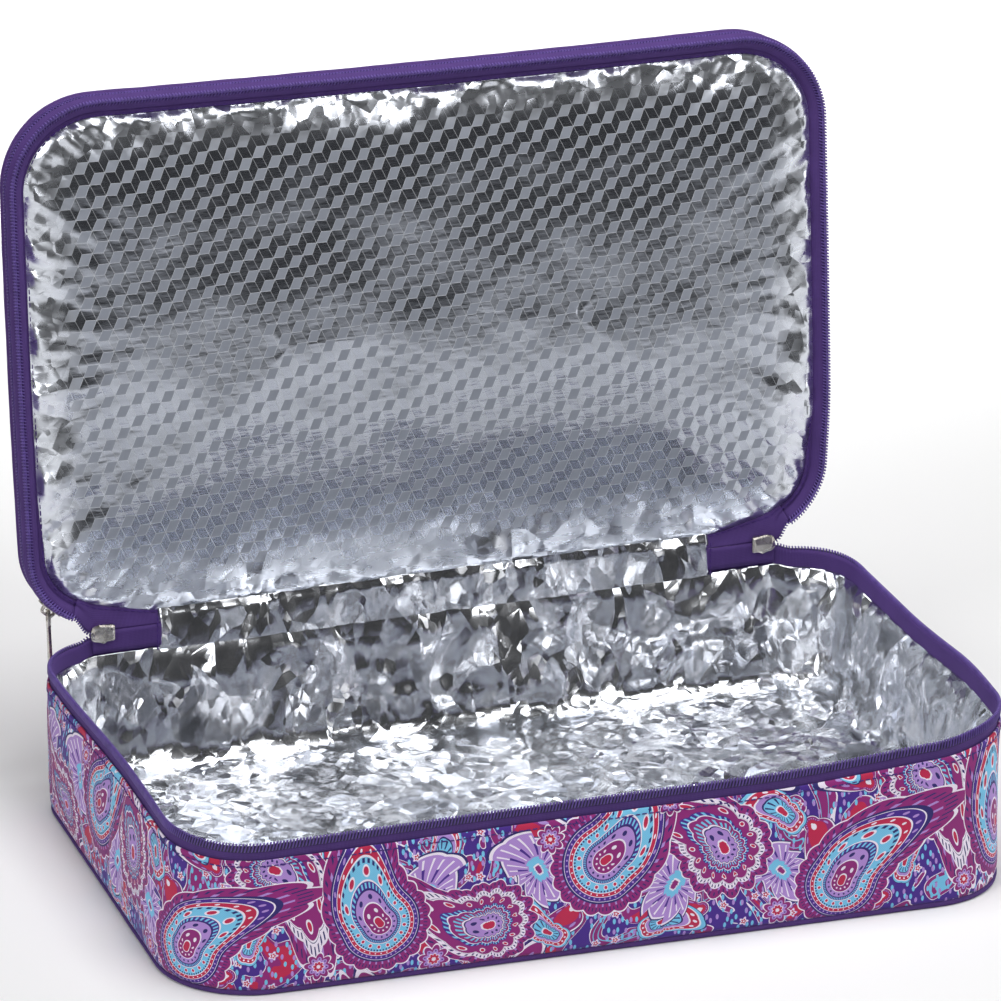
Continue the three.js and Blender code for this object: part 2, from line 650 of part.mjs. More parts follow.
// Zip bridges, the loose tape from each slider's mouth up to the lid's zip
const leanAngle = THREE.MathUtils.degToRad(lidLean);
function fromLid(x, y, z) {
  return new THREE.Vector3(
    x,
    bagDepth / 2 + y * Math.sin(leanAngle) - z * Math.cos(leanAngle),
    hingeHeight + y * Math.cos(leanAngle) + z * Math.sin(leanAngle),
  );
}
const rimEnd = corner(1, true, -lidZipTurn - 1.2, -lidZipTurn)[0];
function onRimEnd(side, inset, depth) {
  const x = side * (rimEnd.x + rimEnd.inX * inset);
  return fromLid(...settleLid(x, rimEnd.y + rimEnd.inY * inset, depth));
}
const mouthEnd = onTub(corner(1, true, -90 + mouthTurn + 2, -90)).pop();
const mouthX = mouthEnd.x + mouthEnd.inX * tubTapeMiddle;
const mouthY = mouthEnd.y + mouthEnd.inY * tubTapeMiddle;
for (const [word, side] of [["left", -1], ["right", 1]]) {
  const atMouth = (height) => new THREE.Vector3(...settleTub(side * mouthX, mouthY, height));
  const coilEdge = [atMouth(endTapeBottom), onRimEnd(side, tapeRim.x, tapeRim.y)];
  const seamEdge = [atMouth(endTapeTop), onRimEnd(side, tapeFoot.x, tapeFoot.y)];
  const bridgeSections = [];
  for (let i = 0; i <= 6; i += 1) {
    const low = coilEdge[0].clone().lerp(coilEdge[1], i / 6);
    const high = seamEdge[0].clone().lerp(seamEdge[1], i / 6);
    const along = coilEdge[1].clone().sub(coilEdge[0]);
    const aside = high.clone().sub(low).cross(along).setLength(tapeThickness / 2);
    const points = [low.clone().add(aside), high.clone().add(aside), high.sub(aside), low.sub(aside)];
    bridgeSections.push(points.map((point) => point.toArray()));
  }
  place(carrier, `zip_bridge_${word}`, loft(bridgeSections), "violet");
}

// Main sliders at the hinge-side corners, tails to the middle
const sliderShape = sliderGeometry();
const pullShape = pullGeometry();
const chainY = bagDepth / 2 - tubTapeMiddle;
const restSwing = THREE.MathUtils.degToRad(86);
for (const [word, turn] of [["left", 0], ["right", Math.PI]]) {
  const mount = new THREE.Group();
  mount.rotation.y = turn;
  const x = word === "left" ? -cornerX : cornerX;
  mount.position.set(x, chainY, chainHeight + zipRise + hingeRise(x));
  const seat = new THREE.Group();
  seat.rotation.x = -Math.PI / 2;
  mount.add(seat);
  carrier.add(mount);
  place(seat, `zip_slider_${word}`, sliderShape.clone(), "nickel");
  const pull = place(seat, `zip_pull_${word}`, pullShape.clone(), "nickel");
  pull.position.z = pivotHeight;
  pull.rotation.y = restSwing;
}

// Expander slider, parked on the lid's corner with its pull hanging straight down
const parkAngle = THREE.MathUtils.degToRad(180 + expanderTurn);
const outward = new THREE.Vector3(Math.cos(parkAngle), Math.sin(parkAngle), 0);
const tailward = new THREE.Vector3(Math.sin(parkAngle), -Math.cos(parkAngle), 0);
const acrossChain = new THREE.Vector3(0, 0, -1);
const parkRadius = hingeRadius - lidTapeMiddle - 0.23;
const parkCentre = new THREE.Vector3(-cornerX, hingeRadius, -expanderDepth);
const sliderFrame = new THREE.Matrix4().makeBasis(tailward, acrossChain, outward);
sliderFrame.setPosition(parkCentre.clone().addScaledVector(outward, parkRadius));
place(lid, "expander_slider", sliderShape.clone().applyMatrix4(sliderFrame), "nickel");
const pullFrame = new THREE.Matrix4().makeBasis(
  new THREE.Vector3(-1, 0, 0),
  acrossChain,
  new THREE.Vector3(0, -1, 0),
);
pullFrame.setPosition(parkCentre.clone().addScaledVector(outward, parkRadius + pivotHeight));
place(lid, "expander_pull", pullShape.clone().applyMatrix4(pullFrame), "nickel");

export default carrier;
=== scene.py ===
import bpy
import bmesh
import math
import numpy as np
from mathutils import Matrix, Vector, noise


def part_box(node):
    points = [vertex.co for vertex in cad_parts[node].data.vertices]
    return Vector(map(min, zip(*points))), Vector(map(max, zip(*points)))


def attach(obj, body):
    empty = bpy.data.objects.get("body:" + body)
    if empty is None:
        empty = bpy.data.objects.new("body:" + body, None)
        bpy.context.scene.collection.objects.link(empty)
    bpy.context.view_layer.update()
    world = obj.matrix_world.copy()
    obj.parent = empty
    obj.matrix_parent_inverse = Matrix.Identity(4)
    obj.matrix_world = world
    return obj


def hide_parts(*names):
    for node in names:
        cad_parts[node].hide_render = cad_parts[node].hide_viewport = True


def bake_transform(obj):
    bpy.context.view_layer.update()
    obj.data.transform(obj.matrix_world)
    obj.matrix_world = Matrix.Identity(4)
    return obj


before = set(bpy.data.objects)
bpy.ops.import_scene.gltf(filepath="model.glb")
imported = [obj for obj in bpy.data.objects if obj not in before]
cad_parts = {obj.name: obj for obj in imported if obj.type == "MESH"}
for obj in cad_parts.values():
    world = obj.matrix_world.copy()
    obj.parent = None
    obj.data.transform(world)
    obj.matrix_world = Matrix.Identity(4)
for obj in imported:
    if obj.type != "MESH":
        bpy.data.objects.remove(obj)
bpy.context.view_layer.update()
scene = bpy.context.scene

# the bag's own sizes, in metres, as in the CAD frame
bag = {
    "width": 0.420,
    "depth": 0.266,
    "frontRadius": 0.046,
    "hingeRadius": 0.036,
    "hingeHeight": 0.0857,
    "lean": math.radians(5.0),
    "zipEnd": 0.1445,  # where the zip is stitched off, either side of the middle
    "lidZipTurn": 64.0,  # how far the lid's zip runs round the hinge-side corners
}
cornerX = bag["width"] / 2 - bag["hingeRadius"]
mm = 0.001


def smooth(value, low, high):
    t = np.clip((np.asarray(value, float) - low) / (high - low), 0.0, 1.0)
    return t * t * (3.0 - 2.0 * t)


def wobble(point, size, seed=0.0):
    x, y, z = (value / size for value in point)
    return noise.noise(Vector((x + seed, y - seed, z + 0.37 * seed)))


# the length so far at each point of a line
def runLength(points):
    return np.concatenate([[0.0], np.cumsum(np.linalg.norm(np.diff(points, axis=0), axis=1))])


# each column of values, known at some marks, at other marks
def readAt(wanted, marks, values):
    return np.stack([np.interp(wanted, marks, column) for column in values.T], 1)


# a way in the rim's plane as a way in space
def flatWay(way):
    return np.concatenate([way, np.zeros((len(way), 1))], 1)


# a line round the rim: place (x, away from hinge), the way in, and the length so far
def rimLine(leftTurn, rightTurn, step, tailX=None, loop=False):
    pts = []

    def arc(side, atHinge, a0, a1):
        r = bag["hingeRadius"] if atHinge else bag["frontRadius"]
        cx = side * (bag["width"] / 2 - r)
        cy = r if atHinge else bag["depth"] - r
        n = max(2, int(math.ceil(abs(math.radians(a1 - a0)) * r / step)))
        for a in np.radians(np.linspace(a0, a1, n + 1)):
            pts.append((cx + r * math.cos(a), cy + r * math.sin(a), -math.cos(a), -math.sin(a)))

    def fill(x0, y0, x1, y1, inX, inY):
        n = max(2, int(round(math.hypot(x1 - x0, y1 - y0) / step)))
        for t in np.linspace(0, 1, n + 1)[1:-1]:
            pts.append((x0 + (x1 - x0) * t, y0 + (y1 - y0) * t, inX, inY))

    w, d, rf, rh = bag["width"] / 2, bag["depth"], bag["frontRadius"], bag["hingeRadius"]
    if tailX is not None:
        pts.append((-tailX, 0.0, 0.0, 1.0))
        fill(-tailX, 0, -cornerX, 0, 0, 1)
    arc(-1, True, 180 + leftTurn, 180)
    fill(-w, rh, -w, d - rf, 1, 0)
    arc(-1, False, 180, 90)
    fill(-w + rf, d, w - rf, d, 0, -1)
    arc(1, False, 90, 0)
    fill(w, d - rf, w, rh, -1, 0)
    arc(1, True, 0, -rightTurn)
    if tailX is not None:
        fill(cornerX, 0, tailX, 0, 0, 1)
        pts.append((tailX, 0.0, 0.0, 1.0))
    if loop:
        fill(cornerX, 0, -cornerX, 0, 0, 1)
    line = np.array(pts)
    return line[:, :2], line[:, 2:], runLength(line[:, :2])


# how the soft bag leans and settles, as a shift of each point at rest
slump = {
    "right": 0.0075, "rightLift": 0.002, "left": 0.005, "leftDrop": 0.0015, "front": 0.008,
    "baseRight": 0.004, "cornerLift": 0.0058, "cornerTuck": 0.0046, "zipRise": 0.0022, "hingeTilt": 0.005,
    "lidSag": 0.0035, "lidTuck": 0.0035, "lidLeft": 0.0015, "lidCurl": 0.0016,
}
# where each shift starts and where it is all there
settling = {
    "side": (0.172, 0.21), "leftBack": (-0.0333, 0.093), "front": (-0.1297, -0.043), "back": (0.093, 0.1265),
    "cornerUpX": (0.07, 0.195), "cornerUpY": (-0.08, 0.035), "cornerInX": (0.13, 0.21),
    "cornerInY": (-0.11, -0.03), "baseX": (0.12, 0.21), "wallHeight": (0.0225, 0.0705),
    "hingeHeight": (0.0465, 0.0705),
    "zipX": (cornerX + 0.006, cornerX + 0.0125), "zipTop": (0.081, 0.0854),
    "lidHinge": (0.006, 0.085), "lidLeft": (0.15, 0.205), "lidCurl": (0.02, 0.2),
}
rimHeight = 0.0774


# the hinge runs up a little to the right
def hingeRise(x):
    return slump["hingeTilt"] * np.clip((x + cornerX) / (2 * cornerX), 0, 1)


def tubShape(points):
    p = np.array(points, float)
    flat = p.reshape(-1, 3)
    x, y, z = flat[:, 0].copy(), flat[:, 1].copy(), flat[:, 2].copy()
    h = np.clip(z / rimHeight, 0, 1)
    right = smooth(x, *settling["side"])
    cornerUp = smooth(x, *settling["cornerUpX"]) * (1 - smooth(y, *settling["cornerUpY"]))
    cornerIn = smooth(x, *settling["cornerInX"]) * (1 - smooth(y, *settling["cornerInY"]))
    left = smooth(-x, *settling["side"]) * (1 - smooth(y, *settling["leftBack"]))
    front = 1 - smooth(y, *settling["front"])
    back = smooth(y, *settling["back"])
    spread = right * slump["right"] * h ** 2 + left * slump["left"] * h ** 1.5
    flat[:, 0] += spread - slump["cornerTuck"] * cornerIn
    flat[:, 0] += slump["baseRight"] * (1 - h) * smooth(x, *settling["baseX"])
    flat[:, 1] -= slump["front"] * (0.75 + x / bag["width"]) * (1 - h) * front
    lift = slump["rightLift"] * right * (1 - back) + slump["cornerLift"] * cornerUp
    lift -= slump["leftDrop"] * front * smooth(-x, 0, bag["width"] / 2)
    zipped = (1 - smooth(np.abs(x), *settling["zipX"])) * (1 - smooth(z, *settling["zipTop"]))
    drawn = slump["zipRise"] * zipped + hingeRise(x)
    flat[:, 2] += lift * smooth(z, *settling["wallHeight"])
    flat[:, 2] += drawn * back * smooth(z, *settling["hingeHeight"])
    return p


# the same for the lid, in its own x, distance from the hinge, and depth towards its foil
def lidShape(points):
    p = np.array(points, float)
    flat = p.reshape(-1, 3)
    x, v = flat[:, 0].copy(), flat[:, 1].copy()
    up = np.clip(v / bag["depth"], 0, 1)
    near = 1 - smooth(v, *settling["lidHinge"])
    flat[:, 0] -= slump["lidTuck"] * smooth(x, *settling["side"]) * near
    flat[:, 0] -= slump["lidLeft"] * smooth(-x, *settling["lidLeft"]) * np.sin(math.pi * up)
    flat[:, 1] -= slump["lidSag"] * up ** 2 * (1 - 2 * (x / bag["width"]) ** 2)
    flat[:, 1] += hingeRise(x) * near
    flat[:, 2] += slump["lidCurl"] * np.sin(math.pi * up) * smooth(np.abs(x), *settling["lidCurl"])
    return p


def onLid(points):
    p = lidShape(points)
    s, c = math.sin(bag["lean"]), math.cos(bag["lean"])
    out = np.empty_like(p)
    out[..., 0] = p[..., 0]
    out[..., 1] = bag["depth"] / 2 + p[..., 1] * s - p[..., 2] * c
    out[..., 2] = bag["hingeHeight"] + p[..., 1] * c + p[..., 2] * s
    return out


def onLidPoint(x, v, depth):
    return onLid(np.array([[x, v, depth]]))[0]


def onTub(points):
    p = np.array(points, float)
    p[..., 1] = bag["depth"] / 2 - p[..., 1]
    return tubShape(p)


# rows of points, each a section of (inset, height), along a rim line
def sweepRows(line, section):
    place, inward, _ = line
    section = np.asarray(section, float)
    rows = np.empty((len(place), len(section), 3))
    rows[:, :, 0] = place[:, None, 0] + inward[:, None, 0] * section[None, :, 0]
    rows[:, :, 1] = place[:, None, 1] + inward[:, None, 1] * section[None, :, 0]
    rows[:, :, 2] = section[None, :, 1]
    return rows


def newPiece(name, mesh):
    piece = bpy.data.objects.new(name, mesh)
    scene.collection.objects.link(piece)
    return piece


# a skin of quads through rows of points, closed along the rows or round each section if asked
def skin(name, rows, material, around=False, along=False, uv=None, caps=False, flat=False):
    r, c = rows.shape[:2]
    faces = []
    corners = []
    for i in range(r if along else r - 1):
        for j in range(c if around else c - 1):
            a, b = i, (i + 1) % r
            k, m = j, (j + 1) % c
            faces.append((a * c + k, b * c + k, b * c + m, a * c + m))
            corners.append(((i, j), (i + 1, j), (i + 1, j + 1), (i, j + 1)))
    if caps:
        faces.append(tuple(range(c)))
        faces.append(tuple((r - 1) * c + j for j in reversed(range(c))))
    mesh = bpy.data.meshes.new(name)
    mesh.from_pydata(rows.reshape(-1, 3).tolist(), [], faces)
    if uv is not None:
        layer = mesh.uv_layers.new(name="cloth")
        us, vs = uv
        values = [(us[p[0]], vs[p[1]]) for quad in corners for p in quad]
        values += [(0.0, 0.0)] * (len(mesh.loops) - len(values))
        layer.data.foreach_set("uv", np.array(values, float).ravel())
    mesh.polygons.foreach_set("use_smooth", [not flat] * len(mesh.polygons))
    mesh.materials.append(material)
    return newPiece(name, mesh)


weld = 1e-6


def faceOut(piece, floorUp=False):
    work = bmesh.new()
    work.from_mesh(piece.data)
    bmesh.ops.remove_doubles(work, verts=work.verts, dist=weld)
    bmesh.ops.recalc_face_normals(work, faces=work.faces)
    if floorUp and sum(f.normal.z * f.calc_area() for f in work.faces if abs(f.normal.z) > 0.8) < 0:
        bmesh.ops.reverse_faces(work, faces=work.faces)
    work.to_mesh(piece.data)
    work.free()
    return piece


# live modifiers become the piece's own mesh
def settle(piece):
    graph = bpy.context.evaluated_depsgraph_get()
    mesh = bpy.data.meshes.new_from_object(piece.evaluated_get(graph), depsgraph=graph)
    old = piece.data
    piece.modifiers.clear()
    piece.data = mesh
    mesh.name = piece.name
    bpy.data.meshes.remove(old)
    return piece


def thicken(piece, thickness, offset=-1.0):
    solid = piece.modifiers.new("thickness", "SOLIDIFY")
    solid.thickness = thickness
    solid.offset = offset
    solid.use_even_offset = False
    return settle(piece)


def joined(name, pieces):
    work = bmesh.new()
    mesh = bpy.data.meshes.new(name)
    materials = []
    for piece in pieces:
        lift = {}
        for i, m in enumerate(piece.data.materials):
            if m not in materials:
                materials.append(m)
            lift[i] = materials.index(m)
        before = len(work.faces)
        work.from_mesh(piece.data)
        work.faces.ensure_lookup_table()
        for f in work.faces[before:]:
            f.material_index = lift.get(f.material_index, 0)
    work.to_mesh(mesh)
    work.free()
    for m in materials:
        mesh.materials.append(m)
    for piece in pieces:
        old = piece.data
        bpy.data.objects.remove(piece)
        bpy.data.meshes.remove(old)
    return newPiece(name, mesh)


# camera at the photograph's angle
cameraView = {
    "azimuth": -18.35,
    "elevation": 20.9,
    "distance": 3.224,
    "target": (-0.0098, 0.0, 0.1777),
    "lens": 242.0,
}


def makeCamera(view):
    azimuth = math.radians(view["azimuth"])
    elevation = math.radians(view["elevation"])
    away = (
        math.sin(azimuth) * math.cos(elevation),
        -math.cos(azimuth) * math.cos(elevation),
        math.sin(elevation),
    )
    data = bpy.data.cameras.new("photoCamera")
    data.lens = view["lens"]
    data.sensor_width = 36.0
    data.clip_end = 50.0
    camera = newPiece("photoCamera", data)
    camera.location = [t + view["distance"] * a for t, a in zip(view["target"], away)]
    camera.rotation_euler = (math.pi / 2 - elevation, 0.0, azimuth)
    scene.camera = camera


makeCamera(cameraView)
scene.view_settings.view_transform = "Standard"


# node shorthand
class Nodes:
    def __init__(self, tree):
        self.tree = tree

    def add(self, kind, **settings):
        node = self.tree.nodes.new(kind)
        for key, value in settings.items():
            setattr(node, key, value)
        return node

    def link(self, a, b):
        self.tree.links.new(a, b)

    def put(self, socket, value):
        if isinstance(value, bpy.types.NodeSocket):
            self.link(value, socket)
        else:
            socket.default_value = value

    # a node with its inputs set or linked, for its outputs
    def made(self, kind, inputs, **settings):
        node = self.add(kind, **settings)
        for key, value in inputs.items():
            self.put(node.inputs[key], value)
        return node.outputs

    def math(self, operation, a, b=0.0, c=0.0, clamp=False):
        inputs = {0: a, 1: b, 2: c}
        return self.made("ShaderNodeMath", inputs, operation=operation, use_clamp=clamp)[0]

    def plus(self, a, b):
        return self.math("ADD", a, b)

    def minus(self, a, b):
        return self.math("SUBTRACT", a, b)

    def times(self, a, b):
        return self.math("MULTIPLY", a, b)

    # a times b, plus c
    def scaled(self, a, b, c, clamp=False):
        return self.math("MULTIPLY_ADD", a, b, c, clamp)

    def below(self, a, b):
        return self.math("LESS_THAN", a, b)

    def above(self, a, b):
        return self.math("GREATER_THAN", a, b)

    def least(self, a, b):
        return self.math("MINIMUM", a, b)

    def most(self, a, b):
        return self.math("MAXIMUM", a, b)

    def absolute(self, a):
        return self.math("ABSOLUTE", a)

    def mix(self, factor, a, b):
        return self.made("ShaderNodeMix", {0: factor, 6: a, 7: b}, data_type="RGBA")[2]

    def vector(self, operation, *values):
        return self.made("ShaderNodeVectorMath", dict(enumerate(values)), operation=operation)

    def split(self, vector):
        return self.made("ShaderNodeSeparateXYZ", {0: vector})

    def cloth(self):
        return self.add("ShaderNodeUVMap", uv_map="cloth").outputs[0]

    def place(self):
        return self.add("ShaderNodeTexCoord").outputs["Object"]

    def noise(self, vector, scale, detail=2.0, dimensions="3D", **inputs):
        inputs = {"Vector": vector, "Scale": scale, "Detail": detail, **inputs}
        return self.made("ShaderNodeTexNoise", inputs, noise_dimensions=dimensions)


def newMaterial(name, roughness, metallic=0.0, colour=(0.5, 0.5, 0.5)):
    material = bpy.data.materials.new(name)
    material.use_nodes = True
    nodes = Nodes(material.node_tree)
    shader = material.node_tree.nodes["Principled BSDF"]
    shader.inputs["Roughness"].default_value = roughness
    shader.inputs["Metallic"].default_value = metallic
    shader.inputs["Base Color"].default_value = (*colour, 1.0)
    return material, nodes, shader


def srgb(r, g, b):
    def one(v):
        v /= 255.0
        return v / 12.92 if v <= 0.04045 else ((v + 0.055) / 1.055) ** 2.4

    return (one(r), one(g), one(b), 1.0)


# the print: a drop shape as a distance and a turn round it, on a repeat that wraps both ways
printRepeat = {"wide": 0.3225, "high": 0.172}
inks = {
    "violet": srgb(68, 30, 140),
    "plum": srgb(144, 26, 118),
    "crimson": srgb(194, 26, 76),
    "sky": srgb(120, 200, 238),
    "lavender": srgb(178, 140, 214),
    "pale": srgb(244, 234, 250),
    "navy": srgb(38, 28, 108),
}
dropShape = {
    "bend": 0.3, "base": 1.0, "tip": 1.3, "point": 3.6, "tail": 0.0,
    "lobes": 0.0, "lobeSize": 0.0, "teeth": 0.0, "toothSize": 0.0,
}
dropPlace = {"u": 0.0, "v": 0.0, "centreU": 0.0, "centreV": 0.0, "turnCos": 1.0, "turnSin": 0.0}


def dropGroup():
    tree = bpy.data.node_groups.new("printDrop", "ShaderNodeTree")
    face = tree.interface
    for name, value in {**dropPlace, **dropShape}.items():
        face.new_socket(name, in_out="INPUT", socket_type="NodeSocketFloat").default_value = value
    for name in ("reach", "turn"):
        face.new_socket(name, in_out="OUTPUT", socket_type="NodeSocketFloat")
    n = Nodes(tree)
    given = n.add("NodeGroupInput").outputs
    made = n.add("NodeGroupOutput").inputs
    halfWide, halfHigh = printRepeat["wide"] / 2, printRepeat["high"] / 2
    x = n.math("WRAP", n.minus(given["u"], given["centreU"]), halfWide, -halfWide)
    y = n.math("WRAP", n.minus(given["v"], given["centreV"]), halfHigh, -halfHigh)
    across = n.plus(n.times(x, given["turnCos"]), n.times(y, given["turnSin"]))
    up = n.minus(n.times(y, given["turnCos"]), n.times(x, given["turnSin"]))
    rise = n.most(up, 0.0)
    across = n.minus(across, n.times(n.times(rise, rise), given["bend"]))
    reach = n.math("SQRT", n.plus(n.times(across, across), n.times(up, up)))
    cosine = n.math("DIVIDE", up, n.most(reach, 0.0001))
    tip = n.times(n.math("POWER", n.most(cosine, 0.0), given["point"]), given["tip"])
    behind = n.most(n.times(cosine, -1.0), 0.0)
    tail = n.times(n.math("POWER", behind, given["point"]), given["tail"])
    angle = n.math("ARCTAN2", across, up)
    lobe = n.times(n.absolute(n.math("SINE", n.times(angle, given["lobes"]))), given["lobeSize"])
    tooth = n.math("FRACT", n.times(n.absolute(angle), given["teeth"]))
    lobe = n.plus(lobe, n.times(tooth, given["toothSize"]))
    outline = n.plus(n.plus(given["base"], tip), n.plus(tail, lobe))
    n.link(n.math("DIVIDE", reach, outline), made["reach"])
    n.link(n.times(angle, 1 / (2 * math.pi)), made["turn"])
    return tree


printDrop = dropGroup()


# bands of ink by distance, from the middle out, with hard edges
def inkBands(n, reach, bands):
    ramp = n.add("ShaderNodeValToRGB")
    ramp.color_ramp.interpolation = "CONSTANT"
    stops = ramp.color_ramp.elements
    for stop, (place, ink) in zip(stops, bands):
        stop.position, stop.color = place, inks[ink]
    for place, ink in bands[2:]:
        stops.new(place).color = inks[ink]
    n.put(ramp.inputs[0], reach)
    return ramp.outputs[0]


# a ring of dots at one distance
def ringOfDots(n, reach, turn, at, count, size, spread=7.0):
    step = n.minus(n.math("FRACT", n.times(turn, float(count))), 0.5)
    side = n.times(step, spread * at / count)
    away = n.minus(reach, at)
    square = n.plus(n.times(side, side), n.times(away, away))
    return n.below(square, size * size)


# a ring of short strokes between two distances
def comb(n, reach, turn, low, high, count, share=0.45):
    inside = n.times(n.above(reach, low), n.below(reach, high))
    return n.times(inside, n.below(n.math("FRACT", n.times(turn, float(count))), share))


# nearest of several drops: its distance and its turn
def nearestDrop(n, u, v, drops):
    best = turn = None
    for drop in drops:
        angle = math.radians(drop["angle"])
        inputs = {key: drop.get(key, usual) for key, usual in dropShape.items()}
        inputs.update(u=u, v=v, centreU=drop["u"], centreV=drop["v"])
        inputs.update(turnCos=math.cos(angle) / drop["size"], turnSin=math.sin(angle) / drop["size"])
        made = n.made("ShaderNodeGroup", inputs, node_tree=printDrop)
        if best is None:
            best, turn = made["reach"], made["turn"]
            continue
        closer = n.below(made["reach"], best)
        turn = n.plus(turn, n.times(closer, n.minus(made["turn"], turn)))
        best = n.least(best, made["reach"])
    return best, turn


def drops(rows, **shape):
    keys = ("u", "v", "size", "angle", "bend", "tip", "lobeSize")
    return [{**shape, **dict(zip(keys, row))} for row in rows]


